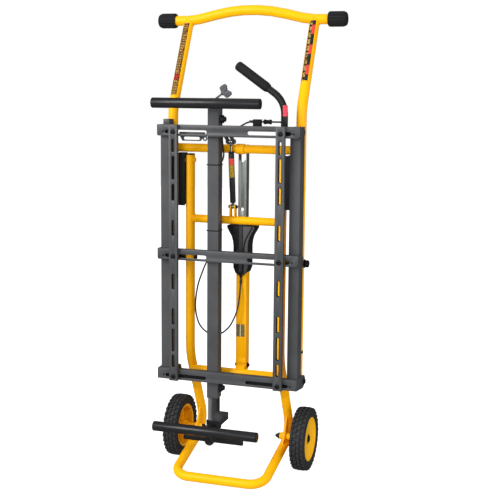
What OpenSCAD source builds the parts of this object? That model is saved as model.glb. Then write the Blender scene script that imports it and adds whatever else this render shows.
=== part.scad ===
// Folding rolling stand for a mitre saw, standing folded on its wheels and toe loop.
// X runs to the right, Y to the back, Z up. The origin is on the floor under the middle.

/* [Frames] */
// Diameter of the wheel frame's tube
wheel_tube_d = 29; // [27:0.5:30]
// Diameter of the handle frame's tube
handle_tube_d = 31; // [29:0.5:31]
// Wall of the round tubes
tube_wall = 1.6; // [1.2:0.1:2.4]
// Distance from the middle to each wheel frame upright
wheel_frame_half = 150; // [148:1:151]
// Distance from the middle to each handle frame upright
handle_frame_half = 207.6; // [207:0.2:208]
// Height of the scissor pivot, where the two frames cross
pivot_z = 680; // [672:1:684]
// Height of the pivot between the handle frame and the table
table_pivot_z = 310; // [305:1:315]
// Height of the pins that slide in the table's guides
slide_pin_z = 994; // [990:1:996]

/* [Handle] */
// Height of the straight ends of the handle bar
handle_z = 1420; // [1410:1:1425]
// Distance that the handle bar lies behind the frames
handle_y = 136; // [130:1:140]
// Half of the width over the rubber grips
handle_half = 309; // [305:1:315]
// Diameter of the rubber grips
grip_d = 47; // [42:1:48]

/* [Wheels] */
// Diameter of the tyres
wheel_d = 203; // [200:1:204]
// Width of the tyres
wheel_w = 48; // [44:1:49]
// Distance that the axles lie behind the frames
axle_y = 68; // [66:1:69]
// Distance from the middle to the middle of each tyre
wheel_half = 213.6; // [213:0.2:215]

/* [Table] */
// Half of the table's width over its side rails
table_half = 224; // [224:0.5:224.5]
// Width of a side rail
rail_w = 33; // [33:0.5:33.5]
// Depth of a side rail
rail_d = 45; // [42:1:48]
// Height of a crossbar
bar_h = 34; // [30:1:36]
// Height of the bottom crossbar's middle
bottom_bar_z = 316; // [314:1:318]
// Height of the top crossbar's middle
top_bar_z = 1080; // [1078:1:1082]
// Width of a slotted saw bar
saw_bar_w = 28; // [24:1:30]
// Distance from the middle to each slotted saw bar
saw_bar_half = 170; // [165:1:172]

/* [Centre rail] */
// Middle of the centre rail, left of the table's middle
mast_x = -52; // [-54:1:-51]
// Side of the centre rail's square tube
mast_s = 36; // [35:0.5:37]
// Side of the extension arms' square tube
arm_s = 30; // [28:0.5:30.5]
// Length of a work support bar
support_l = 343; // [300:1:360]
// Diameter of a work support bar
support_d = 31; // [28:0.5:32]

/* [Struts] */
// Middle of the lock strut, right of the table's middle
lock_x = 16; // [16:0.5:17]
// Distance that the lock strut lies behind the frames
lock_y = 30; // [30:0.5:32]
// Middle of the gas strut
gas_x = -8; // [-9:0.5:-7.5]
// Diameter of the gas strut's cylinder
gas_d = 18; // [16:0.5:18.5]

/* [Hidden] */
$fn = 48;

frame_yellow = "#f7b30e";
steel_black = "#3a3b3e";
deep_black = "#1b1b1d";
zinc = "#aeb4ae";

// Running clearance on a radius, and the gap kept between faces of separate bodies
fit = 0.05;
gap = 0.4;
draw = 0.05;
lap = 1.2;

wheel_r = wheel_tube_d / 2;
handle_r = handle_tube_d / 2;
support_r = support_d / 2;
tyre_r = wheel_d / 2;
rim_r = 70;
axle_z = tyre_r;
bolt_r = 5;
small_bolt_r = 4;

// Heights and depths of the frames
upright_top_z = 1002;
leg_bend_z = 368;
seam = [62, 241];
heel = [133.6, 93.9];
toe_y = -155;
toe_half = 146;
upper_cross_z = 803;
lower_cross_z = 317;
cross_r = 12.5;
handle_cross_z = 1024;
handle_cross_r = 13;
handle_bend_z = 1147;

// The lock strut's two pivots are equally far from the scissor pivot
lock_top_z = handle_cross_z;
lock_bottom_z = 2 * pivot_z - lock_top_z;
lock_s = 34;
lock_wall = 2;
lug_r = 10;

// The gas strut's two pivots, as [y, z]
gas_low = [0, 845];
gas_high = [-25, 1047];
gas_len = norm(gas_high - gas_low);
gas_tilt = atan2(gas_low[0] - gas_high[0], gas_high[1] - gas_low[1]);

// Depths of the table, front to back
saw_front_y = -96;
bar_front_y = -84;
rail_front_y = -63;
rail_back_y = rail_front_y + rail_d;
mid_bar_z = (bottom_bar_z + top_bar_z) / 2;
bar_zs = [bottom_bar_z, mid_bar_z, top_bar_z];
sheet = 2.5;
rail_in = table_half - rail_w;
roller_r = 14.5;
guide_y = 17.5;
guide_low_z = 844;
guide_high_z = 1008;

// Centre rail and its arms
mast_low_z = 244;
mast_high_z = 1146;
mast_y = rail_front_y + mast_s / 2;
support_y = -128;
upper_support_z = 1163;
lower_support_z = 155.5;
post_r = 10;
stop_hinge = [-45, 124];
wing_tilt = 54;

// Release lever, in the plane y = lever_y
lever_y = -50;
lever_r = 10.5;
lever_pivot = [169, 1080];
lever_bend = [169, 1172];
lever_end = [27, 1272];
link_y = -66;
link_z = 1110;

function unit(v) = v / norm(v);
function turn(pts, i) =
  acos(max(-1, min(1, unit(pts[i] - pts[i - 1]) * unit(pts[i + 1] - pts[i]))));
function trim(pts, bends, i) =
  (i <= 0 || i >= len(pts) - 1) ? 0 : bends[i - 1] * tan(turn(pts, i) / 2) - lap;

module ring(r, w) {
  difference() {
    circle(r);
    circle(r - w);
  }
}

module square_ring(sx, sy, w) {
  difference() {
    square([sx, sy], center = true);
    square([sx - 2 * w, sy - 2 * w], center = true);
  }
}

// Straight tube from a to b
module tube_between(a, b, r, w) {
  d = b - a;
  translate(a) rotate([0, acos(d[2] / norm(d)), atan2(d[1], d[0])])
    linear_extrude(norm(d)) ring(r, w);
}

// Bent tube round corner p, from direction u to direction v, on bend radius big.
// Bending draws the tube out by a hair, and each straight tube runs a little way over the bend.
module elbow(p, u, v, big, r, w) {
  t = acos(u * v);
  centre = p + unit(v - u) * big / cos(t / 2);
  ex = (p - u * big * tan(t / 2) - centre) / big;
  ez = cross(ex, u);
  multmatrix([
    [ex[0], u[0], ez[0], centre[0]],
    [ex[1], u[1], ez[1], centre[1]],
    [ex[2], u[2], ez[2], centre[2]],
    [0, 0, 0, 1],
  ])
    rotate_extrude(angle = t) translate([big, 0]) ring(r - draw, w - 2 * draw);
}

// Tube through a list of points, with one bend radius for each inner point
module tube_run(pts, bends, r, w) {
  last = len(pts) - 1;
  for (i = [0:last - 1]) {
    d = unit(pts[i + 1] - pts[i]);
    tube_between(pts[i] + d * trim(pts, bends, i), pts[i + 1] - d * trim(pts, bends, i + 1), r, w);
  }
  for (i = [1:last - 1])
    elbow(pts[i], unit(pts[i] - pts[i - 1]), unit(pts[i + 1] - pts[i]), bends[i - 1], r, w);
}

// Round bar along X from x0 to x1 at [y, z]
module rod_x(x0, x1, yz, r) {
  translate([min(x0, x1), yz[0], yz[1]]) rotate([0, 90, 0]) cylinder(r = r, h = abs(x1 - x0));
}

// Round bar along Y from y0 to y1 at [x, z]
module rod_y(y0, y1, xz, r) {
  translate([xz[0], min(y0, y1), xz[1]]) rotate([-90, 0, 0]) cylinder(r = r, h = abs(y1 - y0));
}

// Box from one corner to the other
module block(lo, hi) {
  translate(lo) cube(hi - lo);
}

// Flat outline drawn in X and Z, from depth y0 to y1
module plate_xz(y0, y1) {
  translate([0, y1, 0]) rotate([90, 0, 0]) linear_extrude(y1 - y0) children();
}

// Flat outline drawn in Y and Z, from x0 to x1
module plate_yz(x0, x1) {
  multmatrix([[0, 0, 1, x0], [1, 0, 0, 0], [0, 1, 0, 0], [0, 0, 0, 1]])
    linear_extrude(x1 - x0) children();
}

// A slot with round ends, running along Y of the sheet
module slot_2d(length, width) {
  square([width, length - width], center = true);
  for (s = [-1, 1]) translate([0, s * (length - width) / 2]) circle(width / 2);
}

// ---- Wheel frame ----

module wheel_upright(s) {
  x = s * wheel_frame_half;
  color(frame_yellow) difference() {
    tube_run([[x, 0, upright_top_z], [x, 0, leg_bend_z], [x, seam[0], seam[1]]],
             [160], wheel_r, tube_wall);
    rod_x(x - 20, x + 20, [0, pivot_z], bolt_r + fit);
    rod_x(x - 20, x + 20, [0, slide_pin_z], 6);
  }
}

module cross_tube(z, r, half, upright_r) {
  difference() {
    tube_between([-half, 0, z], [half, 0, z], r, tube_wall);
    for (s = [-1, 1]) translate([s * half, 0, z - 40]) cylinder(r = upright_r, h = 80);
  }
}

module upper_cross_tube() {
  color(frame_yellow) cross_tube(upper_cross_z, cross_r, wheel_frame_half, wheel_r);
}

// A lug behind a cross tube, pierced for a strut's pivot bolt
module strut_lug(tube_z, tube_r, pivot_z_here, width) {
  difference() {
    union() {
      plate_yz(lock_x - width / 2, lock_x + width / 2) union() {
        translate([lock_y, pivot_z_here]) circle(lug_r);
        polygon([[0, tube_z - tube_r + 2], [0, tube_z + tube_r - 2],
                 [lock_y - 2, pivot_z_here + lug_r - 0.2], [lock_y + 2, pivot_z_here - lug_r + 0.2]]);
      }
    }
    rod_x(lock_x - 40, lock_x + 40, [lock_y, pivot_z_here], small_bolt_r + fit);
    rod_x(lock_x - 40, lock_x + 40, [0, tube_z], tube_r);
  }
}

module lower_cross_tube() {
  color(frame_yellow) union() {
    cross_tube(lower_cross_z, cross_r, wheel_frame_half, wheel_r);
    strut_lug(lower_cross_z, cross_r, lock_bottom_z, lock_s - 2 * lock_wall - 2 * gap);
  }
}

module axle_plate_2d() {
  difference() {
    union() {
      polygon([[92, 178], [110, 140], [112, 112], [96, 88], [66, 78], [30, 68], [44, 92], [64, 122]]);
      translate([axle_y, axle_z]) circle(18);
    }
    translate([axle_y, axle_z]) circle(6);
  }
}

module toe_loop() {
  x = wheel_frame_half;
  color(frame_yellow) difference() {
    union() {
      tube_run([[-x, seam[0], seam[1]], [-x, heel[0], heel[1]], [-toe_half, toe_y, wheel_r],
                [toe_half, toe_y, wheel_r], [x, heel[0], heel[1]], [x, seam[0], seam[1]]],
               [60, 50, 50, 60], wheel_r, tube_wall);
      for (s = [-1, 1]) {
        plate_yz(s * x - 3, s * x + 3) axle_plate_2d();
        difference() {
          rod_x(s * (x - 16), s * (wheel_half - wheel_w / 2 - 1), [axle_y, axle_z], 11);
          rod_x(s * (x - 17), s * (wheel_half), [axle_y, axle_z], 6);
        }
      }
    }
    for (s = [-1, 1]) rod_x(s * (x - 17), s * (x + 40), [axle_y, axle_z], 6);
  }
}

module strut_clevis() {
  color(frame_yellow) difference() {
    for (s = [-1, 1]) plate_yz(gas_x + s * 7.5 - 2, gas_x + s * 7.5 + 2) union() {
      translate(gas_low) circle(8);
      polygon([[-8, gas_low[1]], [8, gas_low[1]], [11, upper_cross_z + 3], [-11, upper_cross_z + 3]]);
    }
    rod_x(gas_x - 20, gas_x + 20, gas_low, small_bolt_r + fit);
    rod_x(gas_x - 20, gas_x + 20, [0, upper_cross_z], cross_r);
  }
}

module slide_plugs() {
  color(deep_black) for (s = [-1, 1]) {
    translate([s * wheel_frame_half, 0, 972]) cylinder(r = wheel_r - tube_wall, h = upright_top_z - 972);
    translate([s * wheel_frame_half, 0, upright_top_z]) cylinder(r = wheel_r, h = 4);
    rod_x(s * wheel_frame_half, s * (rail_in - sheet - 1), [0, slide_pin_z], bolt_r);
  }
}

module axle_bolts() {
  color(deep_black) for (s = [-1, 1]) {
    rod_x(s * (wheel_frame_half - 20), s * (wheel_half + 14), [axle_y, axle_z], 6);
    rod_x(s * (wheel_half + 14), s * (wheel_half + 19), [axle_y, axle_z], 10);
    rod_x(s * (wheel_frame_half - 26), s * (wheel_frame_half - 16), [axle_y, axle_z], 10);
    rod_x(s * (wheel_frame_half - 32), s * (wheel_frame_half - 26), [axle_y, axle_z], 7);
  }
}

module strut_bolts() {
  out = lock_s / 2 + gap;
  color(deep_black) {
    rod_x(lock_x - out - 6, lock_x + out + 6, [lock_y, lock_bottom_z], small_bolt_r);
    for (s = [-1, 1]) rod_x(lock_x + s * out, lock_x + s * (out + 6), [lock_y, lock_bottom_z], 8);
    rod_x(gas_x - 16, gas_x + 16, gas_low, small_bolt_r);
    for (s = [-1, 1]) rod_x(gas_x + s * 9.5, gas_x + s * 15, gas_low, 6.5);
  }
}

// ---- Wheels and guide rollers ----

module tyre(s) {
  w = wheel_w / 2;
  color(deep_black) translate([s * wheel_half, axle_y, axle_z]) rotate([0, 90, 0])
    rotate_extrude($fn = 96) polygon([
      [rim_r, -w + 3], [tyre_r - 14, -w], [tyre_r - 5, -w + 3], [tyre_r - 1, -w + 9],
      [tyre_r, -w + 14], [tyre_r, w - 14], [tyre_r - 1, w - 9], [tyre_r - 5, w - 3],
      [tyre_r - 14, w], [rim_r, w - 3],
    ]);
}

module hub(s) {
  w = wheel_w / 2;
  color(frame_yellow) translate([s * wheel_half, axle_y, axle_z]) rotate([0, 90, 0])
    rotate_extrude($fn = 96) polygon([
      [6 + fit, -s * w], [16, -s * w], [18, s * 11], [60, s * 11], [63, s * (4 - w)],
      [rim_r, s * (4 - w)], [rim_r, s * (w - 4)], [66, s * (w - 4)], [64, s * 16],
      [17, s * 16], [14, s * 12], [6 + fit, s * 12],
    ]);
}

module roller(s) {
  color(deep_black) difference() {
    rod_x(s * 168.5, s * 185, [0, slide_pin_z], roller_r);
    rod_x(s * 168, s * 186, [0, slide_pin_z], bolt_r + fit);
  }
}

// ---- Handle frame ----

module handle_upright(s) {
  x = s * handle_frame_half;
  eye_half = 15.2;
  color(frame_yellow) difference() {
    union() {
      tube_run([[x, 0, table_pivot_z], [x, 0, handle_bend_z], [x, handle_y, handle_z]],
               [120], handle_r, tube_wall);
      rod_x(x - eye_half, x + eye_half, [0, table_pivot_z], handle_r - 0.1);
    }
    rod_x(x - 30, x + 30, [0, table_pivot_z], bolt_r + fit);
    rod_x(x - 30, x + 30, [0, pivot_z], bolt_r);
    rod_x(x - 60, x + 60, [handle_y, handle_z], handle_r + fit);
  }
}

module handle_bar() {
  crown = 44;
  end = handle_half - 9;
  color(frame_yellow) tube_run(
    [[-end, handle_y, handle_z], [-190, handle_y, handle_z], [0, handle_y, handle_z + crown],
     [190, handle_y, handle_z], [end, handle_y, handle_z]],
    [300, 500, 300], handle_r, tube_wall);
}

module handle_cross_tube() {
  inner = 27 - 2 * 2 - 2 * gap;
  color(frame_yellow) union() {
    cross_tube(handle_cross_z, handle_cross_r, handle_frame_half, handle_r);
    difference() {
      rod_x(lock_x - 13.5, lock_x + 13.5, [0, handle_cross_z], 16);
      rod_x(lock_x - 14, lock_x + 14, [0, handle_cross_z], handle_cross_r);
    }
    strut_lug(handle_cross_z, handle_cross_r, lock_top_z, inner);
  }
}

module handle_grips() {
  color(deep_black) for (s = [-1, 1]) difference() {
    union() {
      rod_x(s * (handle_half - 58), s * (handle_half - 52), [handle_y, handle_z], grip_d / 2 - 2);
      rod_x(s * (handle_half - 52), s * (handle_half - 4), [handle_y, handle_z], grip_d / 2);
      rod_x(s * (handle_half - 4), s * handle_half, [handle_y, handle_z], grip_d / 2 - 3);
    }
    rod_x(s * (handle_half - 60), s * (handle_half - 9), [handle_y, handle_z], handle_r);
  }
}

module pivot_bolts() {
  inner = wheel_frame_half - wheel_r;
  outer = handle_frame_half + handle_r;
  color(deep_black) {
    for (s = [-1, 1]) {
      rod_x(s * (inner - 8), s * (outer + 8), [0, pivot_z], bolt_r);
      rod_x(s * (inner - 8), s * (inner - gap), [0, pivot_z], 8);
      rod_x(s * (outer + 0.1), s * (outer + 15), [0, pivot_z], 11.5);
      rod_x(s * (wheel_frame_half + wheel_r + gap), s * (handle_frame_half - handle_r), [0, pivot_z], 9);
    }
    rod_x(lock_x - 20, lock_x + 20, [lock_y, lock_top_z], small_bolt_r);
    for (s = [-1, 1]) rod_x(lock_x + s * (13.5 + gap), lock_x + s * 20, [lock_y, lock_top_z], 7);
  }
}

// ---- Table ----

module rail(s) {
  x = s * (table_half - rail_w / 2);
  color(steel_black) difference() {
    translate([x, rail_front_y + rail_d / 2, 300]) linear_extrude(top_bar_z + bar_h / 2 - 301)
      square_ring(rail_w, rail_d, 2);
  }
}

module crossbar(z) {
  depth = rail_front_y - bar_front_y;
  lo = z - bar_h / 2;
  hi = z + bar_h / 2;
  color(steel_black) difference() {
    block([-table_half, bar_front_y, lo], [table_half, rail_front_y, hi]);
    block([-table_half - 1, bar_front_y + sheet, lo + sheet],
          [table_half + 1, rail_front_y + 1, hi - sheet]);
    for (s = [-1, 1]) plate_xz(bar_front_y - 1, bar_front_y + sheet + 1)
      translate([s * 133, z - 4]) rotate([0, 0, 90]) slot_2d(136, 11);
  }
}

module end_plate_2d(h) {
  polygon([[bar_front_y, -h / 2 + 5], [bar_front_y + 5, -h / 2], [-40, -h / 2], [-24, -h / 2 + 12],
           [-24, h / 2 - 12], [-40, h / 2], [bar_front_y, h / 2]]);
}

module end_brackets() {
  color(steel_black) {
    for (s = [-1, 1], z = [mid_bar_z, top_bar_z])
      translate([0, 0, z]) plate_yz(s > 0 ? table_half : -table_half - 3, s > 0 ? table_half + 3 : -table_half)
        end_plate_2d(bar_h);
    block([-216, -60, top_bar_z + bar_h / 2 - 1], [-196, -24, top_bar_z + bar_h / 2 + 16]);
  }
}

module corner_plates() {
  z = bottom_bar_z;
  color(steel_black) for (s = [-1, 1]) difference() {
    union() {
      plate_yz(s > 0 ? table_half : -table_half - 4, s > 0 ? table_half + 4 : -table_half)
        polygon([[bar_front_y, z - 17], [-8, z - 26], [8, z - 20], [17, z - 8], [17, z + 2],
                 [8, z + 12], [-20, z + 17], [bar_front_y, z + 17]]);
      plate_yz(s > 0 ? rail_in - 4 : -rail_in, s > 0 ? rail_in : -rail_in + 4)
        polygon([[-60, z - 14], [-8, z - 22], [8, z - 19], [16, z - 8], [16, z + 2],
                 [8, z + 10], [-20, z + 14], [-60, z + 14]]);
    }
    rod_x(s * (rail_in - 10), s * (table_half + 10), [0, table_pivot_z], bolt_r);
  }
}

module corner_bolts() {
  color(deep_black) for (s = [-1, 1]) {
    rod_x(s * (rail_in - 10), s * (table_half + 10), [0, table_pivot_z], bolt_r);
    rod_x(s * (rail_in - 10), s * (rail_in - 4), [0, table_pivot_z], 8);
    rod_x(s * (table_half + 4), s * (table_half + 10), [0, table_pivot_z], 9.5);
  }
}

module mast() {
  color(steel_black) difference() {
    translate([mast_x, mast_y, mast_low_z]) linear_extrude(mast_high_z - mast_low_z)
      square_ring(mast_s, mast_s, 2);
    rod_x(mast_x, mast_x + 40, [mast_y, 1115], small_bolt_r + fit);
    rod_x(mast_x, mast_x + 40, [mast_y, 276], small_bolt_r + fit);
  }
}

module guide_channels() {
  t = sheet;
  color(steel_black) for (s = [-1, 1]) {
    web = s > 0 ? [rail_in - t, rail_in] : [-rail_in, -rail_in + t];
    front = s > 0 ? [161, rail_in - t] : [-rail_in + t, -161];
    back = s > 0 ? [167, rail_in - t] : [-rail_in + t, -167];
    difference() {
      union() {
        block([web[0], -50, guide_low_z], [web[1], guide_y + t, guide_high_z]);
        block([front[0], -guide_y - t, guide_low_z], [front[1], -guide_y, guide_high_z]);
        block([back[0], guide_y, guide_low_z], [back[1], guide_y + t, guide_high_z]);
      }
    }
  }
}

module strut_bracket() {
  color(steel_black) {
    for (s = [-1, 1]) {
      plate_yz(gas_x + s * 8.5 - 2, gas_x + s * 8.5 + 2) union() {
        translate(gas_high) circle(9);
        polygon([[rail_front_y, top_bar_z - 17], [rail_front_y, top_bar_z], [-40, top_bar_z - 8],
                 [gas_high[0] + 9, gas_high[1]], [gas_high[0] - 9, gas_high[1]]]);
      }
      rod_x(gas_x + s * 10.5, gas_x + s * 15, gas_high, 6.5);
    }
  }
}

module hook_plate() {
  top = top_bar_z - bar_h / 2;
  color(steel_black) plate_xz(rail_front_y, rail_front_y + sheet) difference() {
    union() {
      polygon([[-162, top + 12], [-162, top + 3], [-152, top - 15], [-92, top - 15],
               [-78, top + 3], [-78, top + 12]]);
      translate([-78, top - 7]) circle(7.5);
    }
    translate([-121, top - 7]) rotate([0, 0, 90]) slot_2d(52, 9);
    translate([-78, top - 7]) circle(3.4);
  }
}

module lever_bracket() {
  z = lever_pivot[1];
  color(steel_black) {
    for (y = [rail_front_y, lever_y + lever_r + 1]) plate_xz(y, y + 1.8) polygon(
      [[148, z - 15], [rail_in, z - 15], [rail_in, z + 15], [150, z + 15]]);
    block([148, rail_front_y + 1.8, z - 17], [rail_in, lever_y + lever_r + 1, z - 15]);
    rod_y(rail_front_y + 1.8, lever_y + lever_r + 1, lever_pivot, bolt_r);
    difference() {
      block([78, -74, top_bar_z + 17], [102, -58, link_z + 7]);
      rod_x(70, 110, [link_y, link_z], 2.5 + 0.3);
    }
  }
}

// Route of the release cable, from the lever bracket to the lock housing
cable_d = 5;
cable_route = [
  [78, -66, 1110], [66, -64, 1109], [50, -58, 1104], [34, -52, 1096], [16, -50, 1089], [-2, -50, 1084],
  [-16, -50, 1081], [-25, -49, 1072], [-28, -46, 1055], [-28.5, -41, 1038], [-29, -35, 1022],
  [-29.5, -28.5, 1009], [-34, -22.4, 994], [-43, -21.4, 976], [-48, -21, 956], [-50, -21, 920],
  [-51, -21, 880], [-52, -21, 840],
  [-52, -21, 800], [-54, -21, 760], [-60, -21, 725], [-74, -21, 694], [-90, -20, 665],
  [-103, -20, 634], [-115, -20, 600], [-122, -20, 565], [-125, -20, 530], [-122, -20, 500],
  [-112, -20, 470], [-94, -20, 450], [-72, -20, 440], [-50, -20, 440], [-30, -19, 450],
  [-12, -17, 468], [0, -14, 490], [9, -9, 515], [14, -4, 545], [16, 1, 575],
  [16, 6, 600], [16, 9, 621],
];

function catmull(a, b, c, d, t) =
  0.5 * (2 * b + (c - a) * t + (2 * a - 5 * b + 4 * c - d) * t * t
         + (3 * b - a - 3 * c + d) * t * t * t);
function route_at(i, t) =
  let (n = len(cable_route) - 1)
    catmull(cable_route[max(i - 1, 0)], cable_route[i], cable_route[min(i + 1, n)],
            cable_route[min(i + 2, n)], t);
route_pts = [
  for (i = [0:len(cable_route) - 2]) for (t = [0, 0.5]) route_at(i, t),
  cable_route[len(cable_route) - 1],
];

// Tube of n sides swept along a list of points
module sweep(pts, r, n) {
  last = len(pts) - 1;
  dirs = [for (i = [0:last]) unit(pts[min(i + 1, last)] - pts[max(i - 1, 0)])];
  side = [for (d = dirs) unit(cross(d, [0, 1, 0.01]))];
  ring_pts = [
    for (i = [0:last]) for (k = [0:n - 1])
      pts[i] + r * (cos(360 * k / n) * side[i] + sin(360 * k / n) * cross(dirs[i], side[i])),
  ];
  faces = concat(
    [[for (k = [0:n - 1]) k]],
    [for (i = [0:last - 1]) for (k = [0:n - 1])
      [i * n + k, (i + 1) * n + k, (i + 1) * n + (k + 1) % n, i * n + (k + 1) % n]],
    [[for (k = [n - 1:-1:0]) last * n + k]]);
  polyhedron(ring_pts, faces, convexity = 6);
}

module release_cable() {
  color(deep_black) sweep(route_pts, cable_d / 2, 8);
}

// ---- Slotted saw bars ----

module saw_bar(s) {
  offsets = [84, 194, 269, 336];
  lengths = [49, 52, 73, 40];
  back = bar_front_y - gap;
  low_z = 298;
  high_z = 1098;
  color(steel_black) translate([s * saw_bar_half, 0, 0]) difference() {
    block([-saw_bar_w / 2, saw_front_y, low_z], [saw_bar_w / 2, back, high_z]);
    block([-saw_bar_w / 2 + sheet, saw_front_y + sheet, low_z - 1],
          [saw_bar_w / 2 - sheet, back + 1, high_z + 1]);
    plate_xz(saw_front_y - 1, saw_front_y + sheet + 1) {
      for (e = [-1, 1], i = [0:3])
        translate([0, mid_bar_z + e * offsets[i]]) slot_2d(lengths[i], 10);
      for (z = bar_zs) translate([0, z - 4]) circle(4);
    }
  }
}

module bar_screws(s) {
  color(deep_black) for (z = bar_zs) {
    rod_y(saw_front_y - 4, saw_front_y, [s * saw_bar_half, z - 4], 7.5);
    rod_y(saw_front_y, bar_front_y + 10, [s * saw_bar_half, z - 4], 4);
    rod_y(bar_front_y + sheet + gap, bar_front_y + 9, [s * saw_bar_half, z - 4], 8);
  }
}

// ---- Release lever ----

module release_lever() {
  a = [lever_pivot[0], lever_y, lever_pivot[1]];
  b = [lever_bend[0], lever_y, lever_bend[1]];
  a_end = [lever_end[0], lever_y, lever_end[1]];
  c = a_end + 5 * unit(b - a_end);
  color(deep_black) difference() {
    union() {
      tube_run([a, b, c], [75], lever_r, 2);
      rod_y(lever_y - 10, lever_y + 10, lever_pivot, 13);
      rod_y(link_y - 4, lever_y - lever_r + 2, [lever_pivot[0], link_z], 2.5);
    }
    rod_y(lever_y - 11, lever_y + 11, lever_pivot, bolt_r + fit);
  }
}

module lever_grip() {
  a = [lever_end[0], lever_y, lever_end[1]];
  d = unit([lever_bend[0], lever_y, lever_bend[1]] - a);
  tilt = [0, acos(d[2]), atan2(d[1], d[0])];
  color(deep_black) translate(a) rotate(tilt) difference() {
    union() {
      translate([0, 0, -10]) cylinder(r1 = 11, r2 = 14.5, h = 6);
      translate([0, 0, -4]) cylinder(r = 14.5, h = 112);
      translate([0, 0, 108]) cylinder(r = 13, h = 4);
    }
    translate([0, 0, 4]) cylinder(r = lever_r + fit, h = 120);
  }
}

module release_link() {
  color(zinc) {
    rod_x(92, lever_pivot[0] - 5, [link_y, link_z], 2.5);
    rod_x(112, 132, [link_y, link_z], 6);
    difference() {
      rod_y(link_y - 2, link_y + 2, [lever_pivot[0], link_z], 6.5);
      rod_y(link_y - 3, link_y + 3, [lever_pivot[0], link_z], 4);
    }
  }
}

// ---- Lock strut ----

lock_pin_z = 704;

module lock_tube() {
  half = lock_s / 2;
  z = lock_bottom_z;
  color(frame_yellow) difference() {
    union() {
      translate([lock_x, lock_y, z + 24]) linear_extrude(778 - z - 24) square_ring(lock_s, lock_s, lock_wall);
      for (s = [-1, 1])
        plate_yz(lock_x + s * (half - lock_wall / 2) - lock_wall / 2,
                 lock_x + s * (half - lock_wall / 2) + lock_wall / 2) union() {
          translate([lock_y, z]) circle(15);
          translate([lock_y - 15, z]) square([30, 26]);
        }
    }
    rod_x(lock_x - 30, lock_x + 30, [lock_y, z], small_bolt_r + fit);
    rod_y(lock_y - half - 1, lock_y, [lock_x, lock_pin_z], 6);
  }
}

module housing_2d() {
  polygon([
    [-45, 786], [-45, 778], [-38, 766], [-30, 752], [-26, 738], [-24, 722], [-24, 654], [-18, 638],
    [-8, 629], [8, 629], [18, 638], [24, 654], [24, 722], [26, 738], [30, 752], [38, 766],
    [45, 778], [45, 786],
  ]);
}

module lock_housing() {
  color(deep_black) difference() {
    union() {
      plate_xz(4, 54) translate([lock_x, 0]) housing_2d();
      rod_y(-1, 5, [lock_x, lock_pin_z], 13);
      translate([lock_x, 9, 622]) cylinder(r = 4.5, h = 20);
    }
    block([lock_x - lock_s / 2, lock_y - lock_s / 2, 600], [lock_x + lock_s / 2, lock_y + lock_s / 2, 800]);
    rod_y(1, lock_y, [lock_x, lock_pin_z], 9);
  }
}

module lock_pin() {
  color(zinc) {
    rod_y(11, lock_y - 13.2, [lock_x, lock_pin_z], 4);
    rod_y(10, 12.6, [lock_x, lock_pin_z], 7);
  }
}

module lock_channel() {
  w = 27;
  t = 2;
  front = lock_y - 13;
  low = 560;
  web_top = 990;
  color(zinc) difference() {
    union() {
      block([lock_x - w / 2, front, low], [lock_x + w / 2, front + t, web_top]);
      for (s = [-1, 1])
        plate_yz(lock_x + s * (w / 2 - t / 2) - t / 2, lock_x + s * (w / 2 - t / 2) + t / 2) union() {
          translate([front, low]) square([26, lock_top_z - low]);
          translate([lock_y, lock_top_z]) circle(13);
        }
    }
    rod_x(lock_x - 30, lock_x + 30, [lock_y, lock_top_z], small_bolt_r + fit);
    rod_y(front - 1, front + t + 1, [lock_x, web_top], 8);
    for (i = [1:2]) rod_y(front - 1, front + t + 1, [lock_x, lock_pin_z + 66 * i], 5);
  }
}

// ---- Gas strut ----

// Places what is drawn along Z from the gas strut's lower pivot
module along_gas() {
  translate([gas_x, gas_low[0], gas_low[1]]) rotate([gas_tilt, 0, 0]) children();
}

module gas_cylinder() {
  r = gas_d / 2;
  color(deep_black) along_gas() difference() {
    union() {
      translate([0, 0, 13]) cylinder(r = r, h = 160);
      translate([0, 0, 4]) cylinder(r = 4, h = 12);
      rotate([0, 90, 0]) cylinder(r = 6.5, h = 10, center = true);
    }
    translate([0, 0, 16]) cylinder(r = r - 2, h = 153);
    translate([0, 0, 160]) cylinder(r = 3.5 + fit, h = 20);
    rotate([0, 90, 0]) cylinder(r = small_bolt_r + fit, h = 12, center = true);
  }
}

module gas_rod() {
  color(zinc) along_gas() {
    translate([0, 0, 18]) cylinder(r = 3.5, h = gas_len - 18);
    translate([0, 0, 16.5]) cylinder(r = gas_d / 2 - 2 - fit, h = 3.4);
    translate([0, 0, gas_len]) rotate([0, 90, 0]) cylinder(r = 6.5, h = 11, center = true);
  }
}

// ---- Extension arms and work supports ----

module arm_tube(z0, z1) {
  translate([mast_x, mast_y, z0]) linear_extrude(z1 - z0) square_ring(arm_s, arm_s, 2);
}

module arm_head(z) {
  difference() {
    block([mast_x - 19, mast_y - 18, z - 16], [mast_x + 19, mast_y + 18, z + 15]);
    rod_y(mast_y - 30, mast_y + 30, [mast_x, z], post_r + fit);
  }
}

module upper_arm() {
  z = upper_support_z;
  color(steel_black) difference() {
    union() {
      arm_tube(700, z - 15.5);
      arm_head(z);
    }
    translate([mast_x - 4, mast_y, z + 9]) rotate([0, wing_tilt, 0])
      translate([0, 0, 7]) cylinder(r = 3 + fit, h = 60);
  }
}

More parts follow.
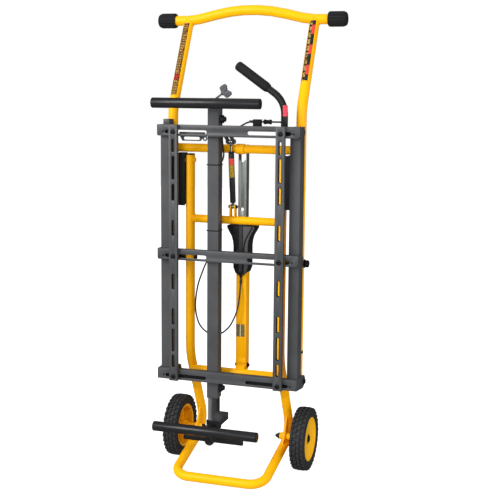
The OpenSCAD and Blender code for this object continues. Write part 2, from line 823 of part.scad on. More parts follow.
module lower_arm() {
  z = lower_support_z;
  x = mast_x + arm_s / 2;
  y = stop_hinge[0];
  color(steel_black) difference() {
    union() {
      arm_tube(z + 14.5, 660);
      arm_head(z);
      plate_xz(mast_y - 15, mast_y - 12) polygon(
        [[x, z + 48], [x + 38, z + 48], [x + 38, z + 26], [x + 6, z - 6], [x, z - 6]]);
      for (s = [-1, 1])
        plate_yz(mast_x + s * 14 - 2, mast_x + s * 14 + 2) union() {
          translate(stop_hinge) circle(8);
          translate([y - 8, stop_hinge[1]]) square([16, z - 15.5 - stop_hinge[1]]);
        }
    }
    rod_x(mast_x - 20, mast_x + 20, stop_hinge, small_bolt_r + fit);
  }
}

module support(z) {
  left = mast_x - support_l / 2;
  right = mast_x + support_l / 2;
  color(steel_black) {
    difference() {
      tube_between([left + 3, support_y, z], [right - 3, support_y, z], support_r, 1.6);
      rod_y(support_y, support_y + 30, [mast_x, z], post_r);
    }
    rod_y(support_y + 2, -20, [mast_x, z], post_r);
  }
}

module support_caps(z) {
  color(deep_black) for (s = [-1, 1]) {
    x = mast_x + s * support_l / 2;
    rod_x(x - s * 3, x, [support_y, z], support_r);
    rod_x(x - s * 15, x - s * 3, [support_y, z], support_r - 1.6);
  }
}

module wing_knob() {
  color("#6d6e71") translate([mast_x - 4, mast_y, upper_support_z + 9]) rotate([0, wing_tilt, 0]) {
    translate([0, 0, 8]) cylinder(r = 3, h = 30);
    translate([0, 0, 32]) cylinder(r = 6.5, h = 12);
    for (s = [-1, 1]) translate([s > 0 ? 4 : -19, -4, 36]) cube([15, 8, 15]);
    translate([-6, -4, 40]) cube([12, 8, 8]);
  }
}

module arm_knob(z) {
  x = mast_x + mast_s / 2;
  color(deep_black) {
    rod_x(x - 2.6, x + 4, [mast_y, z], small_bolt_r);
    translate([x + 1, mast_y, z]) rotate([0, 90, 0]) cylinder(r = 13, h = 9, $fn = 10);
    rod_x(x + 9.5, x + 17, [mast_y, z], 8);
  }
}

module stop_bar() {
  y = stop_hinge[0];
  color(steel_black) difference() {
    union() {
      block([mast_x - 100, y - 12, 97], [mast_x + 100, y - 2, 111]);
      block([mast_x - 10, y - 7, 106], [mast_x + 10, y + 7, stop_hinge[1]]);
      rod_x(mast_x - 11, mast_x + 11, stop_hinge, 7);
      rod_x(mast_x - 20, mast_x + 20, stop_hinge, small_bolt_r);
      rod_y(y - 20, y - 12, [mast_x - 10, 103], 16);
    }
  }
}

wheel_upright(-1);  // wheel_left_upright
wheel_upright(1);  // wheel_right_upright
upper_cross_tube();
lower_cross_tube();
toe_loop();
strut_clevis();
slide_plugs();
axle_bolts();
strut_bolts();
tyre(-1);  // left_tyre
hub(-1);  // left_hub
tyre(1);  // right_tyre
hub(1);  // right_hub
roller(-1);  // left_roller
roller(1);  // right_roller
handle_upright(-1);  // handle_left_upright
handle_upright(1);  // handle_right_upright
handle_bar();
handle_cross_tube();
handle_grips();
pivot_bolts();
rail(-1);  // left_rail
rail(1);  // right_rail
crossbar(top_bar_z);  // top_crossbar
crossbar(mid_bar_z);  // middle_crossbar
crossbar(bottom_bar_z);  // bottom_crossbar
end_brackets();
mast();
guide_channels();
strut_bracket();
corner_plates();
corner_bolts();
hook_plate();
lever_bracket();
release_cable();
saw_bar(-1);  // left_saw_bar
saw_bar(1);  // right_saw_bar
bar_screws(-1);  // left_bar_screws
bar_screws(1);  // right_bar_screws
release_lever();
lever_grip();
release_link();
lock_tube();
lock_housing();
lock_pin();
lock_channel();
gas_cylinder();
gas_rod();
upper_arm();
lower_arm();
support(upper_support_z);  // upper_support
support(lower_support_z);  // lower_support
support_caps(upper_support_z);  // upper_caps
support_caps(lower_support_z);  // lower_caps
wing_knob();
arm_knob(1115);  // upper_arm_knob
arm_knob(276);  // lower_arm_knob
stop_bar();
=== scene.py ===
import math

import bmesh
import bpy
from mathutils import Matrix, Vector


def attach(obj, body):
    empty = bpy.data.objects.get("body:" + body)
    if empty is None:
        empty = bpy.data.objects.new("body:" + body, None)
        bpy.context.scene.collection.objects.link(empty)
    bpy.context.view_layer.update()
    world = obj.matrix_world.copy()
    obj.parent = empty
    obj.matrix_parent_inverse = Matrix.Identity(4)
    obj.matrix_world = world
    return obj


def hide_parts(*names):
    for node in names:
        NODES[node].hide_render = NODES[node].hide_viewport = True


bl_info = {
    "name": "Folding saw stand",
    "version": (1, 0, 0),
    "blender": (4, 5, 0),
    "location": "View3D > Sidebar > Saw stand",
    "description": "Builds the looks of a folding, rolling saw stand round its CAD frame",
    "category": "Add Mesh",
}

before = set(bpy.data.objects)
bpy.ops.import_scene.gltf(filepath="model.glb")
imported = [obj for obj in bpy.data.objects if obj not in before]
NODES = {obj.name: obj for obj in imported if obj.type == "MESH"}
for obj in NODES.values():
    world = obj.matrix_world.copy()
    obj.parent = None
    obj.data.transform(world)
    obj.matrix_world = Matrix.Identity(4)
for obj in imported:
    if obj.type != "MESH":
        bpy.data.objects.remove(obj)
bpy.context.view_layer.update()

# Shapes are worked out in millimetres and scaled to metres once, when a piece is finished.
MM = 0.001
X, Y, Z = Vector((1, 0, 0)), Vector((0, 1, 0)), Vector((0, 0, 1))
SIDES = (("left", -1), ("right", 1))

# The stand's main lines, as in the part's source
WHEEL_X, WHEEL_R, UPRIGHT_TOP, HEEL_BEND = 150, 14.5, 1002, (62, 241)
HANDLE_X, HANDLE_R, HANDLE_BEND_Z = 207.6, 15.5, 1147
PIVOT_Z, EYE_Z, PIN_Z = 680, 310, 994
HANDLE_TOP = (136, 1420)
HANDLE_RISE = Vector((0, HANDLE_TOP[0], HANDLE_TOP[1] - HANDLE_BEND_Z)).normalized()
UPPER_CROSS_Z, LOWER_CROSS_Z, HANDLE_CROSS_Z = 803, 317, 1024
AXLE = (68, 101.5)
TYRE_X, TYRE_R, RIM_R, TYRE_HALF = 213.6, 101.5, 70, 24
CROSSBAR_ZS = (316, 698, 1080)
SAW_BAR_X, SAW_FRONT, BAR_FRONT = 170, -96, -84
MAST_X, MAST_Y = -52, -45
SUPPORT_Y, SUPPORT_R, SUPPORT_HALF = -128, 15.5, 171.5
SUPPORT_ZS = {"upper": 1163, "lower": 155.5}
LOCK_X, LOCK_Y, LOCK_LOW_Z = 16, 30, 336
GAS_X, GAS_LOW, GAS_HIGH = -8, Vector((-8, 0, 845)), Vector((-8, -25, 1047))
LEVER_X, LEVER_Y, LEVER_LOW_Z = 169, -50, 1080
LINK_Y, LINK_Z = -66, 1110

# Edges that bend by more than this many degrees are shown crisp
CREASE = 35


# ---- Shapes ----


def done(bm):
    """Turns every face of a closed shape outwards."""
    bmesh.ops.recalc_face_normals(bm, faces=bm.faces)
    return bm


def soften(bm, width, angle=40, steps=2):
    """Bevels the edges that are sharper than angle."""
    sharp = [
        e for e in bm.edges if len(e.link_faces) == 2 and e.calc_face_angle(0) > math.radians(angle)]
    if width and sharp:
        bmesh.ops.bevel(
            bm, geom=sharp, offset=width, offset_type="OFFSET", affect="EDGES",
            segments=steps, profile=0.5, material=-1, clamp_overlap=False,
        )
    return bm


def copy_of(node, soft):
    """A merged copy of a CAD node with its sharp edges softened."""
    bm = bmesh.new()
    bm.from_mesh(NODES[node].data)
    bmesh.ops.scale(bm, vec=(1 / MM,) * 3, verts=bm.verts)
    bmesh.ops.remove_doubles(bm, verts=bm.verts, dist=0.01)
    bmesh.ops.dissolve_limit(
        bm, angle_limit=math.radians(1), use_dissolve_boundaries=False,
        verts=bm.verts, edges=bm.edges, delimit=set(),
    )
    return soften(bm, soft)


def drawn_out(bm, edges, by):
    """Draws edges out by a distance and returns the new points."""
    grown = bmesh.ops.extrude_edge_only(bm, edges=edges)["geom"]
    verts = [g for g in grown if isinstance(g, bmesh.types.BMVert)]
    bmesh.ops.translate(bm, vec=by, verts=verts)
    return verts


def rim_edges(verts):
    """The edges that join these points to each other."""
    inside = set(verts)
    near = dict.fromkeys(e for v in verts for e in v.link_edges)
    return [e for e in near if inside.issuperset(e.verts)]


def circle_at(bm, centre, axis, radius, sides):
    turn = Vector(axis).to_track_quat("Z", "Y").to_matrix().to_4x4()
    return bmesh.ops.create_circle(
        bm, cap_ends=False, segments=sides, radius=radius,
        matrix=Matrix.Translation(Vector(centre)) @ turn,
    )["verts"]


def tube(points, bends, radius, sides=40, soft_ends=0.8):
    """A tube through points, with one bend radius for each inner point."""
    pts = [Vector(p) for p in points]
    ways = [(b - a).normalized() for a, b in zip(pts, pts[1:])]
    turns = [a.angle(b) for a, b in zip(ways, ways[1:])]
    cuts = [0, *(bend * math.tan(t / 2) for bend, t in zip(bends, turns)), 0]
    bm = bmesh.new()
    edges = rim_edges(circle_at(bm, pts[0], ways[0], radius, sides))
    bmesh.ops.holes_fill(bm, edges=edges, sides=0)
    at = pts[0]
    for i, way in enumerate(ways):
        end = pts[i + 1] - way * cuts[i + 1]
        edges = rim_edges(drawn_out(bm, edges, end - at))
        at = end
        if i < len(turns):
            axis = way.cross(ways[i + 1]).normalized()
            centre = end + axis.cross(way) * bends[i]
            steps = max(4, round(math.degrees(turns[i]) / 5))
            last = bmesh.ops.spin(
                bm, geom=edges, cent=centre, axis=axis, dvec=(0, 0, 0),
                angle=turns[i], steps=steps, use_merge=False, use_duplicate=False,
            )["geom_last"]
            edges = [g for g in last if isinstance(g, bmesh.types.BMEdge)]
            at = pts[i + 1] + ways[i + 1] * cuts[i + 1]
    bmesh.ops.holes_fill(bm, edges=edges, sides=0)
    bmesh.ops.remove_doubles(bm, verts=bm.verts, dist=0.001)
    return soften(done(bm), soft_ends, 60)


def turn_steps(count, shift=0):
    """The angles that part a full turn into equal steps."""
    return [math.tau * (k + shift) / count for k in range(count)]


def lathe(profile, centre, axis, sides, closed=False):
    """A profile of (radius, distance along the axis) spun once round the axis."""
    bm = bmesh.new()
    axis, centre = Vector(axis).normalized(), Vector(centre)
    side = axis.orthogonal().normalized()
    verts = [bm.verts.new(centre + side * r + axis * a) for r, a in profile]
    edges = [bm.edges.new(pair) for pair in zip(verts, verts[1:])]
    if closed:
        edges.append(bm.edges.new((verts[-1], verts[0])))
    bmesh.ops.spin(
        bm, geom=verts + edges, cent=centre, axis=axis, dvec=(0, 0, 0),
        angle=math.tau, steps=sides, use_merge=True, use_duplicate=False,
    )
    bmesh.ops.remove_doubles(bm, verts=bm.verts, dist=0.001)
    return done(bm)


def stub(centre, axis, radius, low, high, sides=24, cut=0.0, along=None, bore=0):
    """A round bar, disc or ring from low to high along its axis.

    Its rims are turned down by cut, over a length of along; a bore makes it a ring."""
    profile = [(bore, low), (radius, low), (radius, high), (bore, high)]
    if cut:
        along = along or cut
        profile[1:3] = [
            (radius - cut, low), (radius, low + along), (radius, high - along), (radius - cut, high)]
    return lathe(profile, centre, axis, sides, closed=bore > 0)


def slab(lo, hi, soft=0.6, steps=2):
    """A block from one corner to the other, with soft edges."""
    lo, hi = Vector(lo), Vector(hi)
    bm = bmesh.new()
    size = Matrix.Diagonal((*(hi - lo), 1))
    bmesh.ops.create_cube(bm, size=1, matrix=Matrix.Translation((lo + hi) / 2) @ size)
    return soften(bm, soft, 40, steps)


def plate(corners, lo, hi, flat="XZ", corner=0.0, soft=0.6, rounds=6):
    """A flat outline given thickness from lo to hi, with round corners and soft edges."""
    spot = {
        "XZ": lambda u, v, d: (u, d, v),
        "YZ": lambda u, v, d: (d, u, v),
        "XY": lambda u, v, d: (u, v, d),
    }[flat]
    bm = bmesh.new()
    verts = [bm.verts.new(spot(u, v, lo)) for u, v in corners]
    bm.faces.new(verts)
    if corner:
        bmesh.ops.bevel(
            bm, geom=verts, offset=corner, offset_type="OFFSET", affect="VERTICES",
            segments=rounds, profile=0.5, material=-1, clamp_overlap=True,
        )
    grown = bmesh.ops.extrude_face_region(bm, geom=list(bm.faces))["geom"]
    moved = [g for g in grown if isinstance(g, bmesh.types.BMVert)]
    bmesh.ops.translate(bm, vec=Vector(spot(0, 0, hi - lo)), verts=moved)
    bmesh.ops.holes_fill(bm, edges=[e for e in bm.edges if e.is_boundary], sides=0)
    return soften(done(bm), soft)


def wire(points, radius, closed=False, thick=None, around=3):
    """A round wire along points; thick is its share of the radius at each point."""
    data = bpy.data.curves.new("wire", "CURVE")
    data.dimensions, data.bevel_depth, data.bevel_resolution = "3D", radius, around
    data.use_fill_caps = not closed
    line = data.splines.new("POLY")
    line.points.add(len(points) - 1)
    for k, p in enumerate(points):
        line.points[k].co = (*p, 1)
        line.points[k].radius = thick[k] if thick else 1
    line.use_cyclic_u = closed
    rod = bpy.data.objects.new("wire", data)
    mesh = bpy.data.meshes.new_from_object(rod)
    bm = bmesh.new()
    bm.from_mesh(mesh)
    bpy.data.objects.remove(rod)
    bpy.data.curves.remove(data)
    bpy.data.meshes.remove(mesh)
    bmesh.ops.remove_doubles(bm, verts=bm.verts, dist=0.001)
    return done(bm)


def bead(path, radius):
    """A weld bead: a closed wire with the ripple of a welder's steps."""
    thick = [1 + 0.22 * math.sin(k * 2.1) for k in range(len(path))]
    return wire(path, radius, closed=True, thick=thick, around=2)


def saddle(upright_x, upright_r, z, r, side, steps=44):
    """The line where a cross tube meets an upright."""
    path = []
    for a in turn_steps(steps):
        y = r * math.cos(a)
        path.append((side * (upright_x - math.sqrt(upright_r**2 - y * y)), y, z + r * math.sin(a)))
    return path


def joined(shapes):
    """Several shapes as one."""
    whole = bmesh.new()
    for shape in shapes:
        mesh = bpy.data.meshes.new("part")
        shape.to_mesh(mesh)
        whole.from_mesh(mesh)
        shape.free()
        bpy.data.meshes.remove(mesh)
    return whole


def piece(name, body, finish, shapes, stands_for=()):
    """Makes the shapes one piece that rides on a body and stands for its CAD nodes."""
    whole = joined(shapes)
    bmesh.ops.scale(whole, vec=(MM,) * 3, verts=whole.verts)
    mesh = bpy.data.meshes.new(name)
    whole.to_mesh(mesh)
    whole.free()
    if not mesh.polygons:
        raise RuntimeError(f"{name} has no faces")
    mesh.polygons.foreach_set("use_smooth", [True] * len(mesh.polygons))
    mesh.set_sharp_from_angle(angle=math.radians(CREASE))
    if finish not in MIXED:
        MIXED[finish] = FINISHES[finish]()
    mesh.materials.append(MIXED[finish])
    made = bpy.data.objects.new(name, mesh)
    bpy.context.scene.collection.objects.link(made)
    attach(made, body)
    if stands_for:
        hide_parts(*stands_for)
    return made


def bolt_head(centre, axis, radius, height, washer=1.15):
    """A hexagon head on its washer."""
    nut = lathe(
        [(0, height), (radius * 0.78, height), (radius * 0.98, height - 1), (radius, height - 1.6),
         (radius, 1.2), (0, 1.2)], centre, axis, 6)
    disc = lathe(
        [(0, 1.5), (radius * washer - 0.5, 1.5), (radius * washer, 1), (radius * washer, 0), (0, 0)],
        centre, axis, 32)
    return [soften(nut, 0.3, 40, 1), disc]


def hex_nut(centre, axis, radius, low, high, cut):
    """A hexagon nut from low to high along its axis, with turned corners."""
    return soften(stub(centre, axis, radius, low, high, 6, cut, 1), 0.3, 40, 1)


def pan_head(centre, axis, radius, height):
    """A domed screw head with a round socket."""
    return lathe(
        [(0, height * 0.35), (radius * 0.42, height * 0.35), (radius * 0.46, height),
         (radius * 0.62, height), (radius * 0.86, height * 0.82), (radius * 0.98, height * 0.5),
         (radius, 0.2), (radius, -0.4), (0, -0.4)], centre, axis, 32)


# ---- Finishes ----


class Wire:
    """An output of a shader node; plain arithmetic on it adds Math nodes."""

    def __init__(self, paint, socket):
        self.paint, self.socket = paint, socket

    def _math(self, kind, *values):
        return self.paint.node("ShaderNodeMath", {"operation": kind}, values)

    def __add__(self, other):
        return self._math("ADD", self, other)

    def __sub__(self, other):
        return self._math("SUBTRACT", self, other)

    def __rsub__(self, other):
        return self._math("SUBTRACT", other, self)

    def __mul__(self, other):
        return self._math("MULTIPLY", self, other)

    def __lt__(self, other):
        return self._math("LESS_THAN", self, other)

    def __gt__(self, other):
        return self._math("GREATER_THAN", self, other)

    __radd__, __rmul__ = __add__, __mul__


class Paint:
    """A material under construction, with patterns on Object coordinates in metres."""

    def __init__(self, name):
        self.material = bpy.data.materials.new(name)
        self.material.use_nodes = True
        self.tree = self.material.node_tree
        self.shader = self.tree.nodes["Principled BSDF"]
        self.place = self.node("ShaderNodeTexCoord", {}, (), "Object")

    def node(self, kind, settings, inputs, output=0):
        made = self.tree.nodes.new(kind)
        for key, value in settings.items():
            if key == "stops":
                ramp = made.color_ramp
                while len(ramp.elements) < len(value):
                    ramp.elements.new(0.5)
                for element, (at, colour) in zip(ramp.elements, value):
                    element.position, element.color = at, (*colour, 1)
            else:
                setattr(made, key, value)
        named = inputs.items() if isinstance(inputs, dict) else enumerate(inputs)
        for key, value in named:
            self.feed(made.inputs[key], value)
        return Wire(self, made.outputs[output])

    def feed(self, socket, value):
        if isinstance(value, Wire):
            self.tree.links.new(value.socket, socket)
        else:
            socket.default_value = value

    def noise(self, scale, detail=3, rough=0.55, place=None):
        return self.node(
            "ShaderNodeTexNoise", {},
            {"Vector": place or self.place, "Scale": scale, "Detail": detail, "Roughness": rough})

    def stretched(self, x, y, z):
        return self.node("ShaderNodeMapping", {}, {"Vector": self.place, "Scale": (x, y, z)})

    def band(self, value, low, high, start=0.0, end=1.0):
        """Takes value from low..high to start..end, smoothly and no further."""
        return self.node(
            "ShaderNodeMapRange", {"interpolation_type": "SMOOTHSTEP"},
            (value, low, high, start, end))

    def blend(self, share, one, two):
        """A colour between two colours."""
        return self.node(
            "ShaderNodeMix", {"data_type": "RGBA"},
            {0: share, 6: (*one, 1) if isinstance(one, tuple) else one,
             7: (*two, 1) if isinstance(two, tuple) else two}, 2)

    def axis(self, name):
        return self.node("ShaderNodeSeparateXYZ", {}, (self.place,), name)

    def bump(self, height, depth, strength):
        return self.node(
            "ShaderNodeBump", {}, {"Height": height, "Strength": strength, "Distance": depth})

    def steps(self, value):
        """The part of value after its whole number: a pattern that repeats."""
        return self.node("ShaderNodeMath", {"operation": "FRACT"}, (value,))

    def finish(self, colour, rough, metal=0.0, normal=None, coat=0.0, coat_rough=0.1, level=0.5):
        at = self.shader.inputs
        self.feed(at["Base Color"], (*colour, 1) if isinstance(colour, tuple) else colour)
        self.feed(at["Roughness"], rough)
        at["Metallic"].default_value = metal
        at["Coat Weight"].default_value = coat
        at["Coat Roughness"].default_value = coat_rough
        at["Specular IOR Level"].default_value = level
        if normal:
            self.feed(at["Normal"], normal)
        return self.material


def shade(colour, by):
    return tuple(min(1.0, c * by) for c in colour)


def powder_coat(name, colour, grain, depth, rough, coat, vary=0.06, level=0.5):
    """Baked powder coat: orange peel, a faint drift of tone, and dust in its pores."""
    p = Paint(name)
    peel = p.noise(grain, 2, 0.5)
    drift = p.noise(7, 3, 0.6)
    dust = p.band(p.noise(260, 4, 0.7), 0.6, 0.8)
    tone = p.blend(p.band(drift, 0.3, 0.7), shade(colour, 1 - vary), shade(colour, 1 + vary))
    tone = p.blend(dust * 0.12, tone, shade(colour, 0.75))
    bumped = p.bump(peel, depth, 0.6)
    return p.finish(tone, rough + (drift - 0.5) * 0.12 + dust * 0.1, 0, bumped, coat, 0.14, level)


def yellow_coat():
    return powder_coat("yellow_coat", tuple(colours().yellow), 700, 0.00012, 0.34, 0.03, 0.03, 0.12)


def black_coat():
    return powder_coat("black_coat", tuple(colours().black), 1500, 0.0002, 0.4, 0.0, 0.16, 0.36)


# Painted shade: a darker, flatter copy of the black coat for steel that stands in shadow. It is used on the
# guide channels, the lever bracket and the saw bars' slot walls.
def deep_black():
    return powder_coat("deep_black", (0.012, 0.012, 0.013), 1200, 0.0002, 0.6, 0.0, 0.1, 0.08)


def gloss_black():
    return powder_coat("gloss_black", tuple(colours().gloss), 900, 0.00008, 0.3, 0.03, 0.05, 0.25)


def black_oxide():
    """Oxide on bolts: dark, a little oily, brighter where a spanner has rubbed."""
    p = Paint("black_oxide")
    rub = p.band(p.noise(420, 5, 0.7), 0.56, 0.72)
    tone = p.blend(rub * 0.5, (0.01, 0.01, 0.011), (0.05, 0.05, 0.054))
    return p.finish(tone, 0.42 - rub * 0.1, 0.3, p.bump(p.noise(1600, 3), 0.0001, 0.5), level=0.3)


def bright_zinc():
    """Zinc plate: small crystals of different tone, and drawing marks along the length."""
    p = Paint("bright_zinc")
    crystal = p.node("ShaderNodeTexVoronoi", {}, {"Vector": p.place, "Scale": 420.0}, "Color")
    flake = p.node("ShaderNodeSeparateXYZ", {}, (crystal,), "X")
    drawn = p.noise(60, 4, 0.7, p.stretched(14, 14, 0.6))
    tone = p.blend(flake * 0.35 + drawn * 0.4, (0.24, 0.27, 0.255), (0.42, 0.46, 0.44))
    normal = p.bump(drawn, 0.00015, 0.5)
    return p.finish(tone, 0.3 + flake * 0.14 + drawn * 0.1, 0.85, normal)


def chrome_rod():
    p = Paint("chrome_rod")
    turned = p.noise(90, 3, 0.6, p.stretched(1, 1, 40))
    return p.finish((0.72, 0.73, 0.74), 0.16 + turned * 0.1, 1.0, p.bump(turned, 0.00003, 0.4))


def tyre_rubber():
    """Moulded tyre rubber: grey-black, dusty on the crown, with fine mould texture."""
    p = Paint("tyre_rubber")
    worn = p.band(p.noise(55, 5, 0.65), 0.45, 0.7)
    grit = p.noise(1300, 4, 0.7)
    tone = p.blend(worn * 0.5, tuple(colours().rubber), shade(tuple(colours().rubber), 1.9))
    return p.finish(tone, 0.72 - worn * 0.1, 0, p.bump(grit, 0.0003, 0.6), level=0.3)


def grip_rubber():
    """Soft grip: matt foam rubber with closed pores."""
    p = Paint("grip_rubber")
    pores = p.node("ShaderNodeTexVoronoi", {}, {"Vector": p.place, "Scale": 900.0}, "Distance")
    drift = p.noise(30, 4, 0.6)
    tone = p.blend(drift, (0.007, 0.0073, 0.008), (0.016, 0.0165, 0.018))
    return p.finish(tone, 0.66 + drift * 0.12, 0, p.bump(pores + drift * 0.3, 0.0003, 0.5), level=0.2)


def moulded(name, colour, rough=0.48, grain=1100, depth=0.00018, level=0.18):
    """Injection moulded plastic: spark-eroded grain and faint flow lines."""
    p = Paint(name)
    flow = p.noise(26, 3, 0.6, p.stretched(1, 1, 0.3))
    tone = p.blend(flow, shade(colour, 0.82), shade(colour, 1.2))
    return p.finish(tone, rough + (flow - 0.5) * 0.15, 0, p.bump(p.noise(grain, 3, 0.6), depth, 0.5),
                    level=level)


def black_plastic():
    return moulded("black_plastic", (0.013, 0.013, 0.0145), 0.42)


def grey_plastic():
    return moulded("grey_plastic", tuple(colours().knob), 0.5)


def flank_plastic():
    return moulded("flank_plastic", (0.075, 0.075, 0.08), 0.5)


def hub_plastic():
    return moulded("hub_plastic", tuple(colours().yellow), 0.38, 800, 0.0001)


def cable_sheath():
    p = Paint("cable_sheath")
    coil = p.noise(500, 2, 0.5)
    return p.finish((0.012, 0.012, 0.013), 0.36 + coil * 0.12, 0, p.bump(coil, 0.0001, 0.4))


def printed(name, ground, ink, mark, cell, fill=0.5, marks=(), grain=520, inked=(-1, 1)):
    """A blank printed label: rows of small ink marks on a dark ground, and no letters.

    marks lists the heights, low and high, at which the ink has the second colour;
    inked is the strip of the label, from side to side, that has any ink on it."""
    p = Paint(name)
    step = p.steps(p.axis("Z") * (1 / cell))
    row = p.band(step, 0.05, 0.2) * p.band(step, 0.8, 0.95, 1, 0)
    speck = p.band(p.noise(grain, 2, 0.6), fill - 0.05, fill + 0.05)
    for low, high in marks:
        ink = p.blend((p.axis("Z") > low) * (p.axis("Z") < high), ink, mark)
    across = p.axis("X")
    inside = (across > inked[0]) * (across < inked[1])
    tone = p.blend(row * speck * inside, ground, ink)
    return p.finish(tone, 0.42 + speck * 0.1, 0, p.bump(p.noise(900, 2), 0.00003, 0.3), 0.1, level=0.2)


def long_label():
    return printed("long_label", (0.008, 0.005, 0.003), (0.42, 0.22, 0.045), (0.6, 0.04, 0.02), 0.008, 0.47,
                   ((1.232, 1.252),), 300, (-0.2172, -0.2008))


def tan_label():
    return printed("tan_label", (0.01, 0.007, 0.004), (0.42, 0.26, 0.06), (0.42, 0.26, 0.06), 0.02, 0.46,
                   grain=240, inked=(0.1982, 0.2064))


def red_black_label():
    """The right half of the second label: red squares on black."""
    p = Paint("red_black_label")
    step = p.steps((p.axis("Z") - 1.226) * (1 / 0.0613))
    red = p.band(step, 0.40, 0.42) * p.band(step, 0.86, 0.88, 1, 0)
    tone = p.blend(red, (0.012, 0.012, 0.013), (0.62, 0.035, 0.02))
    return p.finish(tone, 0.4 + p.noise(90) * 0.1, 0, p.bump(p.noise(900, 2), 0.00003, 0.3), 0.3)


def red_label():
    return printed("red_label", (0.62, 0.035, 0.03), (0.74, 0.2, 0.12), (0.5, 0.03, 0.02), 0.006, 0.56)


def lever_label():
    return printed("lever_label", (0.72, 0.03, 0.06), (0.8, 0.16, 0.2), (0.6, 0.03, 0.04), 0.008, 0.56)


def gold_label():
    return printed("gold_label", (0.12, 0.06, 0.01), (0.55, 0.36, 0.03), (0.42, 0.27, 0.03), 0.005, 0.45)


def small_label():
    """The strut's label: two dark columns of fine rows, with a pale line between them."""
    p = Paint("small_label")
    row = p.steps(p.axis("Z") * 230)
    side = p.axis("X")
    gap = p.band(side, 0.0128, 0.0132) * p.band(side, 0.0152, 0.0156, 1, 0)
    rows = p.band(row, 0.3, 0.4) * p.band(p.noise(700, 2), 0.4, 0.55)
    tone = p.blend(rows * 0.8, (0.05, 0.035, 0.012), (0.36, 0.28, 0.12))
    tone = p.blend(gap, tone, (0.75, 0.66, 0.34))
    return p.finish(tone, 0.45 + rows * 0.1, 0, p.bump(rows, 0.00003, 0.3), 0.2)


# Each finish is mixed once, the first time that a piece asks for it.
MIXED = {}
FINISHES = {maker.__name__: maker for maker in (
    yellow_coat, black_coat, deep_black, gloss_black, black_oxide, bright_zinc, chrome_rod, tyre_rubber,
    grip_rubber, black_plastic, grey_plastic, flank_plastic, hub_plastic, cable_sheath,
    long_label, tan_label, red_black_label, red_label, lever_label, gold_label, small_label,
)}


# ---- What a user may change ----


def paint_prop(name, about, default):
    return bpy.props.FloatVectorProperty(
        name=name, description=about, subtype="COLOR", size=3, min=0, max=1, default=default)


def length_prop(name, about, default):
    """A length in millimetres, since the shapes are worked out in them."""
    return bpy.props.FloatProperty(name=name, description=about, default=default, min=0)


class StandColours(bpy.types.PropertyGroup):
    yellow: paint_prop("Yellow", "Powder coat of the tube frames and the hubs", (0.94, 0.44, 0.001))
    black: paint_prop("Black", "Satin powder coat of the table's steel", (0.057, 0.058, 0.061))
    gloss: paint_prop("Gloss black", "Coat of the work supports and the lever", (0.016, 0.016, 0.018))
    rubber: paint_prop("Rubber", "Tyres", (0.024, 0.0245, 0.026))
    knob: paint_prop("Wing knob", "Grey plastic of the wing knob", (0.085, 0.087, 0.092))
    floor: paint_prop("Floor", "Studio floor", (0.9, 0.9, 0.9))


class StandSizes(bpy.types.PropertyGroup):
    bead: length_prop("Weld bead", "Radius of the weld beads, mm", 2.2)
    soft: length_prop("Steel edge", "Rounding of the black steel's edges, mm", 0.6)
    tread: length_prop("Tread depth", "Height of the tyre's blocks, mm", 4.6)
    flute: length_prop("Grip flute", "Depth of the grooves in the handle grips, mm", 2.3)
    lens: bpy.props.FloatProperty(
        name="Lens", description="Focal length of the studio camera", default=75.54, unit="CAMERA")


def colours():
    return bpy.context.scene.stand_colours


def sizes():
    return bpy.context.scene.stand_sizes


# ---- Pieces ----


class StandOperator:
    """What the operators share: each builds its pieces once, with no undo step."""

    bl_options = {"INTERNAL"}


# Place in metres; degrees of turn to the left, of tilt downwards and of roll
CAMERA_AT, CAMERA_TURN = Vector((1.0589, -3.0553, 1.2052)), (18.3, 8.71, 0.52)
SENSOR, FAR_CLIP, FLOOR_HALF = 36, 60, 9
# Strength of the floor's own glow, of the room as a light, and of the room in reflections
FLOOR_GLOW, FILL, MIRRORED = 1.06, 0.76, 0.08
# Name, place, aim, width and height in metres, and watts
LIGHTS = (
    ("key_softbox", (-2.1, -3.3, 2.7), (0, 0, 0.95), (1.8, 2.4), 160),
    ("right_softbox", (3.8, -1.6, 1.0), (0, 0, 0.6), (1.6, 2.2), 44),
    ("front_softbox", (0.6, -4.8, 1.4), (0, 0, 0.7), (2.0, 2.2), 45),
    ("top_softbox", (0, 0.2, 4.0), (0, 0, 0), (2.4, 2.4), 12),
)


def glow(tree, colour, strength):
    """A plain background of one colour."""
    made = tree.nodes.new("ShaderNodeBackground")
    made.inputs["Color"].default_value = (*colour, 1)
    made.inputs["Strength"].default_value = strength
    return made.outputs[0]


def either(tree, chooser, no, yes):
    """One of two shaders, as chooser says."""
    mixed = tree.nodes.new("ShaderNodeMixShader")
    for socket, source in zip(mixed.inputs, (chooser, no, yes)):
        tree.links.new(source, socket)
    return mixed.outputs[0]


